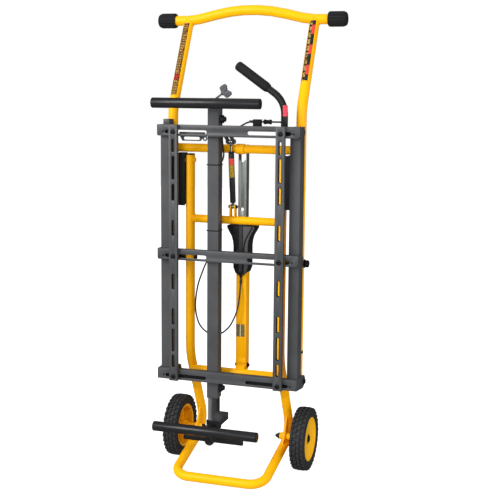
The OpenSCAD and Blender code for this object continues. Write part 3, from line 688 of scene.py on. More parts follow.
class STAND_OT_stage(StandOperator, bpy.types.Operator):
    """Pale floor, soft lights and the camera"""

    bl_idname = "stand.stage"
    bl_label = "Stage"

    def execute(self, context):
        scene = context.scene
        bm = bmesh.new()
        bmesh.ops.create_grid(bm, x_segments=1, y_segments=1, size=FLOOR_HALF)
        mesh = bpy.data.meshes.new("floor")
        bm.to_mesh(mesh)
        bm.free()
        paint = Paint("floor_paint")
        pale = tuple(colours().floor)
        tone = paint.blend(paint.noise(1.5), shade(pale, 0.38), shade(pale, 0.4))
        mesh.materials.append(paint.finish(tone, 0.9, level=0.0))
        paint.shader.inputs["Emission Color"].default_value = (*pale, 1)
        paint.shader.inputs["Emission Strength"].default_value = FLOOR_GLOW
        floor = bpy.data.objects.new("floor", mesh)
        scene.collection.objects.link(floor)
        floor.visible_diffuse = floor.visible_glossy = False

        world = bpy.data.worlds.new("studio")
        scene.world = world
        world.use_nodes = True
        tree = world.node_tree
        tree.nodes.remove(tree.nodes["Background"])
        # The room is white to look at, softer as a light, and dim in reflections.
        seen = tree.nodes.new("ShaderNodeLightPath").outputs
        white, fill, dim = (
            glow(tree, colour, strength) for colour, strength in (
                ((1, 1, 1), 1.0), ((0.97, 0.98, 1), FILL), ((1, 1, 1), MIRRORED)))
        room = either(tree, seen["Is Glossy Ray"], fill, dim)
        tree.links.new(
            either(tree, seen["Is Camera Ray"], room, white), tree.nodes["World Output"].inputs[0])

        for name, spot, aim, size, power in LIGHTS:
            lamp = bpy.data.lights.new(name, "AREA")
            lamp.shape, lamp.size, lamp.size_y, lamp.energy = "RECTANGLE", *size, power
            rig = bpy.data.objects.new(name, lamp)
            rig.location = spot
            rig.rotation_mode = "QUATERNION"
            rig.rotation_quaternion = (Vector(aim) - Vector(spot)).to_track_quat("-Z", "Y")
            scene.collection.objects.link(rig)

        lens = bpy.data.cameras.new("camera")
        lens.lens, lens.sensor_width, lens.clip_end = sizes().lens, SENSOR, FAR_CLIP
        camera = bpy.data.objects.new("camera", lens)
        turn, down, roll = (math.radians(a) for a in CAMERA_TURN)
        right = Vector((math.cos(turn), math.sin(turn), 0))
        level = Vector((-math.sin(turn), math.cos(turn), 0))
        ahead = level * math.cos(down) - Z * math.sin(down)
        up = right.cross(ahead)
        right, up = (
            right * math.cos(roll) + up * math.sin(roll), up * math.cos(roll) - right * math.sin(roll))
        place = Matrix((right, up, -ahead)).transposed().to_4x4()
        place.translation = CAMERA_AT
        camera.matrix_world = place
        scene.collection.objects.link(camera)
        scene.camera = camera
        scene.view_settings.view_transform = "Standard"
        scene.view_settings.look = "None"
        return {"FINISHED"}


class STAND_OT_wheel_frame(StandOperator, bpy.types.Operator):
    """The wheel frame's bent tubes, cross tubes and toe loop, with their weld beads"""

    bl_idname = "stand.wheel_frame"
    bl_label = "Wheel frame"

    def execute(self, context):
        size = sizes().bead
        for name, s in SIDES:
            x = s * WHEEL_X
            shapes = [tube([(x, 0, UPRIGHT_TOP), (x, 0, 368), (x, *HEEL_BEND)], [160], WHEEL_R)]
            for out in (-1, 1):
                shapes.append(lathe(
                    [(0, 3), (5.5, 2.8), (7.4, 1.8), (7.8, -2), (0, -2)],
                    (x + out * WHEEL_R, 0, PIN_Z - 8), X * out, 28))
            shapes.append(bead(saddle(WHEEL_X, WHEEL_R, UPPER_CROSS_Z, 12.5, s), size))
            piece(f"{name}_upright_tube", "wheel_frame", "yellow_coat", shapes,
                  [f"wheel_{name}_upright"])
        piece("upper_cross_bar", "wheel_frame", "yellow_coat",
              [tube([(-144, 0, UPPER_CROSS_Z), (144, 0, UPPER_CROSS_Z)], [], 12.5)], ["upper_cross_tube"])
        lug = plate([(0, 307), (0, 328), (24, 346), (40, 346), (40, 326), (28, 326)],
                    LOCK_X - 14.6, LOCK_X + 14.6, "YZ", 6, 1.2)
        knuckle = stub((LOCK_X, LOCK_Y, LOCK_LOW_Z), X, 14, -14.3, 14.3, 44, 0.8)
        lug_weld = []
        for a in turn_steps(36):
            lean = 0.75 * math.sin(a)
            lug_weld.append((LOCK_X + 14.6 * math.cos(a), 12.8 * math.cos(lean),
                             LOWER_CROSS_Z + 12.8 * math.sin(lean)))
        ends = [bead(saddle(WHEEL_X, WHEEL_R + 0.5, LOWER_CROSS_Z + 1, 12.2, s), size) for s in (-1, 1)]
        piece("lower_cross_bar", "wheel_frame", "yellow_coat",
              [tube([(-147, 0, LOWER_CROSS_Z), (147, 0, LOWER_CROSS_Z)], [], 12.5, soft_ends=3), lug, knuckle,
               bead(lug_weld, size), *ends], ["lower_cross_tube"])

        loop = [tube([(-150, *HEEL_BEND), (-150, 133.6, 93.9), (-146, -155, WHEEL_R),
                      (146, -155, WHEEL_R), (150, 133.6, 93.9), (150, *HEEL_BEND)],
                     [60, 50, 50, 60], WHEEL_R)]
        for _, s in SIDES:
            loop.append(plate(
                [(92, 178), (110, 140), (112, 112), (96, 88), (66, 78), (30, 68), (44, 92), (64, 122)],
                s * 150 - 3, s * 150 + 3, "YZ", 7, 1))
            loop.append(stub((s * 150, *AXLE), X, 18, -5, 5, 40, 1))
            loop.append(lathe(
                [(6, -16), (10.4, -16), (11, -15.3), (11, 37.6), (10.4, 38.4), (6, 38.4)],
                (s * 150, *AXLE), X * s, 36, closed=True))
            for out in (-1, 1):
                ring = [(s * 150 + out * 5.2, AXLE[0] + 11.6 * math.cos(a), AXLE[1] + 11.6 * math.sin(a))
                        for a in turn_steps(36)]
                loop.append(bead(ring, size * 0.8))
        piece("toe_loop_tube", "wheel_frame", "yellow_coat", loop, ["toe_loop"])
        ears = [copy_of("strut_clevis", 0.9)]
        for s in (-1, 1):
            foot = [(GAS_X + s * 7.5 + 3 * math.cos(a), 8.5 * math.sin(a),
                     UPPER_CROSS_Z + 10.4 - abs(math.sin(a)) * 2.4) for a in turn_steps(28)]
            ears.append(bead(foot, size * 0.7))
        piece("gas_strut_ears", "wheel_frame", "yellow_coat", ears, ["strut_clevis"])
        return {"FINISHED"}


class STAND_OT_wheel_frame_fittings(StandOperator, bpy.types.Operator):
    """Plugs with the guide pins, axle bolts with their acorn nuts, and the struts' bolts"""

    bl_idname = "stand.wheel_frame_fittings"
    bl_label = "Wheel frame fittings"

    def execute(self, context):
        plugs, axles, bolts = [], [], []
        for _, s in SIDES:
            plugs.append(lathe(
                [(0, 3.4), (9, 4), (13, 3.9), (14.2, 3.2), (14.5, 2.2), (14.5, 0.2), (12.2, 0),
                 (12.2, -30), (0, -30)], (s * WHEEL_X, 0, UPRIGHT_TOP), Z, 40))
            plugs.append(lathe([(0, 0), (5, 0), (5, 37), (4.4, 37.6), (0, 37.6)],
                               (s * WHEEL_X, 0, PIN_Z), X * s, 24))
            axles.append(stub((s * 130, *AXLE), X * s, 5.9, 0, 97, 28))
            axles += bolt_head((s * 226, *AXLE), X * s, 11, 6.2, 1.4)
            axles.append(lathe(
                [(0, 16), (2.6, 15.6), (4.8, 14), (6.2, 11.2), (6.8, 8), (7, 6), (10, 5.6), (10, 0.4),
                 (9.4, 0), (0, 0)], (s * 134, *AXLE), X * -s, 36))
            bolts += bolt_head((LOCK_X + s * 17.4, LOCK_Y, LOCK_LOW_Z), X * s, 6.6, 6, 1.2)
            bolts += bolt_head(GAS_LOW + X * s * 9.6, X * s, 5.6, 5.2)
        bolts.append(stub((LOCK_X, LOCK_Y, LOCK_LOW_Z), X, 4, -18, 18))
        bolts.append(stub(GAS_LOW, X, 4, -10, 10))
        piece("upright_plugs", "wheel_frame", "black_plastic", plugs, ["slide_plugs"])
        piece("axle_bolts_and_nuts", "wheel_frame", "black_oxide", axles, ["axle_bolts"])
        piece("strut_foot_bolts", "wheel_frame", "black_oxide", bolts, ["strut_bolts"])
        return {"FINISHED"}


def tread_blocks(centre, base, depth):
    """Rows of blocks round a tyre, staggered from row to row."""
    count, shapes = 34, bmesh.new()
    rows = ((-17.5, 8, 0.0, 1.0), (-6.2, 8.6, 0.5, 0.0), (6.2, 8.6, 0.0, 0.0), (17.5, 8, 0.5, 1.0))
    for off, width, shift, drop in rows:
        for angle in turn_steps(count, shift):
            lean = math.radians(9 if off > 0 else -9)
            place = (
                Matrix.Translation(centre) @ Matrix.Rotation(angle, 4, "X")
                @ Matrix.Translation((off, 0, base - drop * 1.3 + depth / 2 - 1.0))
                @ Matrix.Rotation(math.copysign(math.radians(11), off) * drop, 4, "Y")
                @ Matrix.Rotation(lean, 4, "Z") @ Matrix.Diagonal((width, 11.5, depth + 2, 1)))
            bmesh.ops.create_cube(shapes, size=1, matrix=place)
    return soften(shapes, 0.8, 40, 1)


class STAND_OT_wheels(StandOperator, bpy.types.Operator):
    """Tyres with their tread, moulded hubs, and the guide rollers"""

    bl_idname = "stand.wheels"
    bl_label = "Wheels"

    def execute(self, context):
        w, depth = TYRE_HALF, sizes().tread
        crown = TYRE_R - depth - 0.5
        for name, s in SIDES:
            centre = (s * TYRE_X, *AXLE)
            casing = lathe(
                [(RIM_R, 3 - w), (74, 1 - w), (80, 0.6 - w), (83, -w), (87.5, -w), (91, 1.5 - w),
                 (94.5, 5 - w), (crown - 1.2, 11 - w), (crown, 0), (crown - 1.2, w - 11),
                 (94.5, w - 5), (91, w - 1.5), (87.5, w), (83, w), (80, w - 0.6), (74, w - 1),
                 (RIM_R, w - 3)], centre, X, 96, closed=True)
            shapes = [casing, tread_blocks(centre, crown, depth)]
            for out in (-1, 1):
                for r in (77, 90.2):
                    shapes.append(lathe(
                        [(r - 0.8, 0), (r - 0.5, 0.7), (r + 0.5, 0.7), (r + 0.8, 0), (r, -0.6)],
                        (s * TYRE_X + out * (w - (0.9 if r < 80 else 1.3)), *AXLE), X * out, 96, closed=True))
            piece(f"{name}_tyre_treaded", f"{name}_wheel", "tyre_rubber", shapes,
                  [f"{name}_tyre"])
            # Outboard runs along +X * s: a lip, a shallow dish and a hub hole outside,
            # and a deep recess with ribs inside.
            hub = lathe(
                [(6.1, -w), (14.6, -w), (16, 1.4 - w), (17.4, 10.6), (19, 11), (58.5, 11), (61, 10),
                 (63.2, 5 - w), (64.4, 4 - w), (RIM_R - 1.2, 3.2 - w), (RIM_R + 1, 4.4 - w),
                 (RIM_R + 1, w - 4.4), (RIM_R - 1.2, w - 3), (66.4, w - 3), (65, w - 4.2),
                 (63.8, 16.6), (62, 16), (19.4, 16), (17.6, 15), (16.6, 12.4), (6.1, 12)],
                centre, X * s, 96, closed=True)
            shapes = [hub]
            for angle in turn_steps(5, 0.25):
                rib = slab((-18, -1.8, 14), (12, 1.8, 63.2), 0.5, 1)
                rib.transform(
                    Matrix.Translation(centre) @ Matrix.Rotation(angle, 4, "X") @ Matrix.Scale(s, 4, X))
                shapes.append(done(rib))
            piece(f"{name}_hub_moulded", f"{name}_wheel", "hub_plastic", shapes,
                  [f"{name}_hub"])
            roller = lathe(
                [(5.1, 0), (13.4, 0), (14.5, 1.1), (14.5, 7), (13.8, 7.6), (13.8, 8.9), (14.5, 9.5),
                 (14.5, 15.4), (13.4, 16.5), (5.1, 16.5)], (s * 168.5, 0, PIN_Z), X * s, 40, closed=True)
            piece(f"{name}_guide_wheel", f"{name}_guide_roller", "black_plastic",
                  [roller], [f"{name}_roller"])
        return {"FINISHED"}


def fluted_grip(s, depth):
    """A rubber end grip with grooves along it and a chamfered end."""
    start = 251
    grip = lathe(
        [(0, 49), (15.6, 49), (15.6, 0), (20.4, 0), (22.4, 1.6), (23.3, 4.5), (23.5, 8), (23.5, 30),
         (23.5, 46), (22.9, 49.5), (20.6, 54.4), (19.2, 56.6), (17.6, 57.6), (10, 58), (0, 58)],
        (s * start, *HANDLE_TOP), X * s, 112)
    for v in grip.verts:
        y, z = v.co.y - HANDLE_TOP[0], v.co.z - HANDLE_TOP[1]
        along, r = abs(v.co.x) - start, math.hypot(y, z)
        if 3 < along < 55 and r > 20 and math.cos(14 * math.atan2(z, y)) > 0.6:
            v.co.y -= y / r * depth
            v.co.z -= z / r * depth
    return grip


def strip(low, high, radius, front, start, sweep, thick=0.3):
    """A thin label wrapped part of the way round a tube."""
    low, high = Vector(low), Vector(high)
    axis = (high - low).normalized()
    side = Matrix.Rotation(math.radians(start), 3, axis) @ Vector(front).normalized()
    bm = bmesh.new()
    verts = [bm.verts.new(p + side * (radius + thick / 2)) for p in (low, high)]
    edge = bm.edges.new(verts)
    bmesh.ops.spin(
        bm, geom=[*verts, edge], cent=low, axis=axis, dvec=(0, 0, 0), angle=math.radians(sweep),
        steps=12, use_merge=False, use_duplicate=False)
    bmesh.ops.solidify(bm, geom=bm.faces[:], thickness=thick)
    return done(bm)


class STAND_OT_handle_frame(StandOperator, bpy.types.Operator):
    """The handle frame's tubes, its arched bar, grips and scissor pivot bolts"""

    bl_idname = "stand.handle_frame"
    bl_label = "Handle frame"

    def execute(self, context):
        size = sizes().bead
        front = X.cross(HANDLE_RISE)
        for name, s in SIDES:
            x = s * HANDLE_X
            joint = []
            for a in turn_steps(52):
                joint.append(Vector((x, *HANDLE_TOP)) + X * (HANDLE_R * math.cos(a))
                             + front * (HANDLE_R * math.sin(a))
                             - HANDLE_RISE * (HANDLE_R * abs(math.cos(a)) + 0.6))
            shapes = [
                tube([(x, 0, EYE_Z), (x, 0, HANDLE_BEND_Z), (x, *HANDLE_TOP)], [120], HANDLE_R, soft_ends=0),
                stub((x, 0, EYE_Z), X, 15.4, -15.4, 15.4, 40, 1.2),
                bead(joint, size),
                bead(saddle(HANDLE_X, HANDLE_R, HANDLE_CROSS_Z, 13, s), size)]
            piece(f"{name}_handle_tube", "handle_frame", "yellow_coat", shapes,
                  [f"handle_{name}_upright"])
        arch = [(-300, *HANDLE_TOP), (-190, *HANDLE_TOP), (0, HANDLE_TOP[0], HANDLE_TOP[1] + 44),
                (190, *HANDLE_TOP), (300, *HANDLE_TOP)]
        piece("arched_handle", "handle_frame", "yellow_coat",
              [tube(arch, [300, 500, 300], HANDLE_R)], ["handle_bar"])
        collar = stub((LOCK_X, 0, HANDLE_CROSS_Z), X, 16, -13.5, 13.5, 40, 0.8, bore=12.9)
        lug = plate([(0, 1013), (0, 1035), (28, 1035), (40, 1031), (40, 1017), (28, 1013)],
                    LOCK_X - 11, LOCK_X + 11, "YZ", 4, 1.2)
        piece("handle_cross_bar", "handle_frame", "yellow_coat",
              [tube([(-201, 0, HANDLE_CROSS_Z), (201, 0, HANDLE_CROSS_Z)], [], 13), collar, lug],
              ["handle_cross_tube"])
        piece("end_grips", "handle_frame", "grip_rubber",
              [fluted_grip(s, sizes().flute) for _, s in SIDES], ["handle_grips"])
        bolts = []
        for _, s in SIDES:
            bolts.append(stub((s * 128, 0, PIVOT_Z), X * s, 5, 0, 104))
            bolts += bolt_head((s * 135, 0, PIVOT_Z), X * -s, 7.2, 7)
            bolts.append(lathe(
                [(5, 0), (8.6, 0), (9, 0.5), (9, 27), (8.6, 27.4), (5, 27.4)],
                (s * 164.8, 0, PIVOT_Z), X * s, 32, closed=True))
            bolts.append(lathe(
                [(0, 0), (13, 0), (13.4, 0.5), (13.4, 2), (0, 2.2)], (s * 223.2, 0, PIVOT_Z), X * s, 36))
            bolts.append(soften(lathe(
                [(0, 2), (9.5, 2), (11.6, 4.6), (11.6, 12), (9.6, 15), (0, 15)],
                (s * 223.1, 0, PIVOT_Z), X * s, 8), 0.8, 30))
            bolts += bolt_head((LOCK_X + s * 13.9, LOCK_Y, HANDLE_CROSS_Z), X * s, 6, 6)
        bolts.append(stub((LOCK_X, LOCK_Y, HANDLE_CROSS_Z), X, 4, -15, 15))
        piece("scissor_pivots", "handle_frame", "black_oxide", bolts, ["pivot_bolts"])
        band = stub((HANDLE_X, 0, 403), Z, 16.6, -4, 4, 40, 0.4, 0.6, bore=15.4)
        tab = slab((HANDLE_X - 5, -19, 399.5), (HANDLE_X + 5, -15.5, 406.5), 0.8)
        piece("tube_clip", "handle_frame", "black_plastic", [band, tab])
        return {"FINISHED"}


class STAND_OT_labels(StandOperator, bpy.types.Operator):
    """Blank printed labels on the handle tubes, the lever and the struts"""

    bl_idname = "stand.labels"
    bl_label = "Labels"

    def execute(self, context):
        front = X.cross(HANDLE_RISE)

        def on_tube(x, z):
            return Vector((x, *HANDLE_TOP)) + HANDLE_RISE * ((z - HANDLE_TOP[1]) / HANDLE_RISE.z)

        def label(name, body, finish, slot, low, high, radius, face, start, sweep):
            piece(name, body, finish, [strip(low, high, radius, face, start, sweep)])

        left = (on_tube(-HANDLE_X, 1180), on_tube(-HANDLE_X, 1406))
        label("left_handle_label", "handle_frame", "long_label", "yellow_paint", *left, HANDLE_R, front,
              -46, 76)
        right = (on_tube(HANDLE_X, 1226), on_tube(HANDLE_X, 1409))
        label("right_handle_label", "handle_frame", "tan_label", "yellow_paint", *right, HANDLE_R, front,
              -46, 42)
        label("right_handle_label_edge", "handle_frame", "red_black_label", "yellow_paint", *right,
              HANDLE_R, front, -4, 36)
        label("lever_band", "lever", "lever_label", "black_paint", (LEVER_X, LEVER_Y, 1127),
              (LEVER_X, LEVER_Y, 1159), 10.5, -Y, -10, 86)
        way = (GAS_HIGH - GAS_LOW).normalized()
        for name, finish, low, high in (
            ("gas_strut_red_label", "red_label", 132, 151), ("gas_strut_gold_label", "gold_label", 93, 132)):
            label(name, "gas_strut_cylinder", finish, "gas_black", GAS_LOW + way * low,
                  GAS_LOW + way * high, 9, -Y, -85, 170)
        piece("lock_strut_label", "lock_strut_tube", "small_label",
              [slab((0.7, 12.6, 431), (28.5, 13.05, 471), 0.1, 1)])
        return {"FINISHED"}


def slot_wall(x, z, length, radius, near, far):
    """The pressed wall round a slot, from the front of a bar to its back."""
    bm = bmesh.new()
    half = length / 2 - radius
    ring = []
    for a in turn_steps(36, 0.5):
        ring.append(bm.verts.new(
            (x + radius * math.cos(a), near, z + radius * math.sin(a) + math.copysign(half, math.sin(a)))))
    edges = [bm.edges.new((a, b)) for a, b in zip(ring, ring[1:] + ring[:1])]
    drawn_out(bm, edges, (0, far - near, 0))
    bmesh.ops.solidify(bm, geom=bm.faces[:], thickness=1.0)
    return done(bm)


# Distance from the middle of a saw bar, and length, of its slots
SLOTS = ((84, 49), (194, 52), (269, 73), (336, 40))


class STAND_OT_table_steel(StandOperator, bpy.types.Operator):
    """Rails, crossbars, brackets, centre rail and plates of the table, and its saw bars"""

    bl_idname = "stand.table_steel"
    bl_label = "Table steel"

    def execute(self, context):
        soft = sizes().soft
        for node, long_edge in (
            ("left_rail", 1.8), ("right_rail", 1.8), ("mast", 1.8), ("top_crossbar", 0),
            ("middle_crossbar", 0), ("bottom_crossbar", 0), ("end_brackets", 0), ("guide_channels", 0),
            ("strut_bracket", 0), ("corner_plates", 0), ("hook_plate", 0), ("lever_bracket", 0)):
            # The guide channels and the lever bracket take the painted shade coat, which is darker than the
            # black coat, for the shadow they stand in.
            finish = "deep_black" if node in ("guide_channels", "lever_bracket") else "black_coat"
            piece(f"{node}_steel", "table", finish,
                  [tube_copy(node, long_edge, soft) if long_edge else copy_of(node, soft)], [node])
        for name, s in SIDES:
            walls = [slot_wall(s * SAW_BAR_X, CROSSBAR_ZS[1] + e * off, length, 5, SAW_FRONT + 0.6, -85)
                     for off, length in SLOTS for e in (-1, 1)]
            piece(f"{name}_saw_bar_steel", f"{name}_bar", "black_coat",
                  [copy_of(f"{name}_saw_bar", soft)], [f"{name}_saw_bar"])
            # The slot walls take the painted shade coat, so that the slots read as shadowed.
            piece(f"{name}_saw_bar_slot_walls", f"{name}_bar", "deep_black", walls)
        # A dark sheet inside the bottom crossbar, behind its slots. It is painted shade, so that the slots
        # read as dark.
        piece("bottom_crossbar_shade_sheet", "table", "black_plastic",
              [slab((s * 133 - 73, -72.5, 303), (s * 133 + 73, -71, 324), 0.5, 1) for _, s in SIDES])
        return {"FINISHED"}


def tube_copy(node, long_soft, soft):
    """A copy of a square tube: its long outer edges are rounder than its cut ends."""
    bm = copy_of(node, 0)
    long_edges = [
        e for e in bm.edges
        if len(e.link_faces) == 2 and e.calc_length() > 90 and e.calc_face_angle(0) > 0.7
        and e.calc_face_angle_signed(0) > 0]
    bmesh.ops.bevel(
        bm, geom=long_edges, offset=long_soft, offset_type="OFFSET", affect="EDGES", segments=3,
        profile=0.5, material=-1, clamp_overlap=False)
    return soften(bm, soft * 0.7, 50, 1)


class STAND_OT_table_fixings(StandOperator, bpy.types.Operator):
    """Screws, rivets, pivot bolts and cable ties of the table"""

    bl_idname = "stand.table_fixings"
    bl_label = "Table fixings"

    def execute(self, context):
        rivets, pivots = [], []
        for name, s in SIDES:
            screws = []
            for z in CROSSBAR_ZS:
                at = (s * SAW_BAR_X, SAW_FRONT, z - 4)
                screws.append(pan_head(at, -Y, 7.5, 4))
                screws.append(stub(at, Y, 4, 0, 21, 20))
                screws.append(hex_nut(at, Y, 7.9, 15, 21, 1))
                rivets.append(lathe(
                    [(0, 1.8), (1.6, 1.6), (2.8, 0.9), (3.2, -0.2), (0, -0.2)],
                    (s * 207, BAR_FRONT, z - 4), -Y, 20))
            piece(f"{name}_bar_pan_screws", f"{name}_bar", "black_oxide", screws,
                  [f"{name}_bar_screws"])
            pivots.append(stub((s * 183, 0, EYE_Z), X * s, 5, 0, 46))
            pivots += bolt_head((s * 187, 0, EYE_Z), X * -s, 6.8, 6)
            pivots.append(lathe(
                [(0, 6), (4, 5.8), (7, 4.8), (8.8, 3), (9.5, 1), (9.5, 0), (0, 0)],
                (s * 228, 0, EYE_Z), X * s, 36))
        piece("crossbar_rivets", "table", "black_oxide", rivets)
        piece("table_pivot_bolts", "table", "black_oxide", pivots, ["corner_bolts"])
        ties = []
        for z in (977, 775):
            back = -17.6 if z > 900 else -17.4
            loop = [(-71, -64, z), (-33, -64, z), (-33, -28, z), (-37, back - 3, z), (-44, back, z),
                    (-54, back, z), (-62, back - 4, z), (-71, -28, z)]
            strap = wire(loop, 1.0, closed=True, around=2)
            bmesh.ops.scale(strap, vec=(1, 1, 1.7), space=Matrix.Translation((0, 0, -z)), verts=strap.verts)
            ties += [strap, slab((-34, -62, z - 2.4), (-29.6, -56, z + 2.4), 0.5, 1),
                     slab((-73.6, -60, z - 1.6), (-70.6, -56, z + 1.6), 0.4, 1)]
        piece("cable_ties", "table", "black_plastic", ties)
        return {"FINISHED"}


CABLE_ROUTE = (
    (78, -66, 1110), (66, -64, 1109), (50, -58, 1104), (34, -52, 1096), (16, -50, 1089), (-2, -50, 1084),
    (-16, -50, 1081), (-25, -49, 1072), (-28, -46, 1055), (-28.5, -41, 1038), (-29, -35, 1022),
    (-29.5, -28.5, 1009), (-34, -22.4, 994), (-43, -21.4, 976), (-48, -21, 956), (-50, -21, 920),
    (-51, -21, 880), (-52, -21, 840), (-52, -21, 800), (-54, -21, 760), (-60, -21, 725),
    (-74, -21, 694), (-90, -20, 665), (-103, -20, 634), (-115, -20, 600), (-122, -20, 565),
    (-125, -20, 530), (-122, -20, 500), (-112, -20, 470), (-94, -20, 450), (-72, -20, 440),
    (-50, -20, 440), (-30, -19, 450), (-12, -17, 468), (0, -14, 490), (9, -9, 515), (14, -4, 545),
    (16, 1, 575), (16, 6, 600), (16, 9, 621),
)


def smooth_route(points, parts=6):
    """A smooth line through every point."""
    route = [Vector(p) for p in points]
    line = []
    for i in range(len(route) - 1):
        a, b = route[max(i - 1, 0)], route[i]
        c, d = route[i + 1], route[min(i + 2, len(route) - 1)]
        for k in range(parts):
            t = k / parts
            line.append(0.5 * (2 * b + (c - a) * t + (2 * a - 5 * b + 4 * c - d) * t * t
                               + (3 * b - a - 3 * c + d) * t**3))
    return [*line, route[-1]]


class STAND_OT_release_gear(StandOperator, bpy.types.Operator):
    """Release lever with its grip, the link rod with its spring, and the release cable"""

    bl_idname = "stand.release_gear"
    bl_label = "Release gear"

    def execute(self, context):
        tip, knee = Vector((27, LEVER_Y, 1272)), Vector((LEVER_X, LEVER_Y, 1172))
        down = (knee - tip).normalized()
        lever = [
            tube([(LEVER_X, LEVER_Y, LEVER_LOW_Z), knee, tip + down * 5], [75], 10.5),
            stub((LEVER_X, LEVER_Y, LEVER_LOW_Z), Y, 13, -10, 10, 40, 0.8, bore=5),
            stub((LEVER_X, -70, LINK_Z), Y, 2.5, 0, 13, 20)]
        piece("lever_tube", "lever", "gloss_black", lever, ["release_lever"])
        grip = lathe(
            [(0, 4), (10.55, 4), (10.55, 112), (12.3, 112), (13, 111.2), (13.2, 107), (14.1, 105.6),
             (14.5, 103), (14.5, 0), (14.3, -2.4), (13.6, -5), (12, -7.6), (9.4, -9.4), (5, -10), (0, -10)],
            tip, down, 56)
        piece("lever_foam_grip", "lever", "grip_rubber", [grip], ["lever_grip"])
        at = Vector((0, LINK_Y, LINK_Z))
        coil = []
        for k in range(12 * 4 + 1):
            a = math.tau * k / 12
            coil.append(at + Vector((118.5 + k * 0.2, 5.4 * math.cos(a), 5.4 * math.sin(a))))
        link = [
            stub(at, X, 2.5, 92, 164, 20),
            hex_nut(at, X, 7.6, 110, 118, 0.6),
            stub(at, X, 4.9, 119, 128.5, 24, 0.3, 0.5),
            hex_nut(at, X, 7.6, 128, 134, 0.6),
            wire(coil, 0.9, around=2),
            stub((LEVER_X, LINK_Y, LINK_Z), Y, 6.5, -2.2, 2.2, 28, 0.3, 0.4, bore=4)]
        piece("link_rod", "link", "black_oxide", link, ["release_link"])
        cable = [wire(smooth_route(CABLE_ROUTE), 2.5, around=4)]
        cable.append(lathe([(0, -10), (3.6, -10), (4, -9.2), (4, 2), (3.4, 3), (0, 3)],
                           (75, LINK_Y, LINK_Z), X, 28))
        cable.append(lathe([(0, -4), (3.5, -4), (4, -3.4), (4, 8), (3.2, 10), (0, 10)],
                           (16, 9, 607), Z, 28))
        piece("release_cable_sheath", "table", "cable_sheath", cable, ["release_cable"])
        return {"FINISHED"}


class STAND_OT_lock_strut(StandOperator, bpy.types.Operator):
    """Lock strut: square tube, moulded housing, pin and plated channel"""

    bl_idname = "stand.lock_strut"
    bl_label = "Lock strut"

    def execute(self, context):
        piece("lock_strut_outer", "lock_strut_tube", "yellow_coat",
              [tube_copy("lock_tube", 2.2, 0.6),
               slab((LOCK_X - 17, 13, 345), (LOCK_X + 17, 15.2, 362), 0.7)], ["lock_tube"])
        shell = copy_of("lock_housing", 1.2)
        ribs = [slab((LOCK_X + x - 1.3, 1.6, low), (LOCK_X + x + 1.3, 8, high), 0.9, 2)
                for x, low, high in (
                    (-20, 652, 770), (-15.5, 645, 776), (-11, 641, 780), (-8.7, 637, 782))]
        edge = smooth_route([
            (LOCK_X + x, 3.2, z) for x, z in (
                (38, 783), (34, 775), (28.5, 765), (20.5, 751), (14.5, 736), (11.5, 720), (10, 700),
                (9.4, 676), (9.2, 650), (9, 636))])
        piece("lock_housing_shell", "lock_strut_tube", "black_plastic",
              [shell, *ribs, wire(edge, 2.3)], ["lock_housing"])
        ridges = [slab((LOCK_X + x, 1.2, low), (LOCK_X + x + 2.2, 8, high), 0.9, 2)
                  for x in (-4.6, -1.2, 2.2) for low, high in ((642, 693), (715, 783))]
        flank = plate(
            [(LOCK_X + x, z) for x, z in (
                (7.4, 784.4), (44.2, 784.4), (44.2, 778.4), (37.4, 766.6), (29.4, 752.4), (25.4, 738),
                (23.4, 722), (23.4, 655), (17.4, 639), (8, 631.4))], 3, 5.5, "XZ", 2, 0.8, 3)
        piece("lock_housing_ridge", "lock_strut_tube", "flank_plastic", [*ridges, flank])
        pin = [stub((LOCK_X, 11, 704), Y, 4, 0, 6), stub((LOCK_X, 10, 704), Y, 7, 0, 2.6, 28, 0.6)]
        piece("lock_strut_bolt", "lock_strut_pin", "bright_zinc", pin, ["lock_pin"])
        piece("lock_strut_inner", "lock_strut_channel", "bright_zinc",
              [copy_of("lock_channel", 0.5)], ["lock_channel"])
        return {"FINISHED"}


class STAND_OT_gas_strut(StandOperator, bpy.types.Operator):
    """Gas strut: painted cylinder, bright rod and end fittings"""

    bl_idname = "stand.gas_strut"
    bl_label = "Gas strut"

    def execute(self, context):
        way = GAS_HIGH - GAS_LOW
        length = way.length
        body = lathe(
            [(0, 13), (8, 13), (9, 14.2), (9, 165.5), (8.5, 166.4), (8.5, 168), (9, 169), (9, 171.6),
             (7.6, 173), (3.7, 173.4), (0, 173.4)], GAS_LOW, way, 40)
        piece("gas_strut_body", "gas_strut_cylinder", "gloss_black", [body], ["gas_cylinder"])
        foot = [lathe([(0, 3), (3.8, 3), (4.6, 8), (5, 13.4), (0, 13.4)], GAS_LOW, way, 28),
                stub(GAS_LOW, X, 6.5, -5, 5, 32, 0.4, 0.5, bore=4.1)]
        piece("gas_strut_foot_eye", "gas_strut_cylinder", "bright_zinc", foot)
        rod = [stub(GAS_LOW, way, 3.5, 150, length, 28),
               lathe([(0, length - 14), (4.4, length - 14), (5, length - 13), (5, length - 4),
                      (0, length - 3)], GAS_LOW, way, 6),
               stub(GAS_HIGH, X, 6.5, -5.5, 5.5, 32, 0.4, 0.5)]
        piece("gas_strut_plunger", "gas_strut_rod", "chrome_rod", rod, ["gas_rod"])
        return {"FINISHED"}


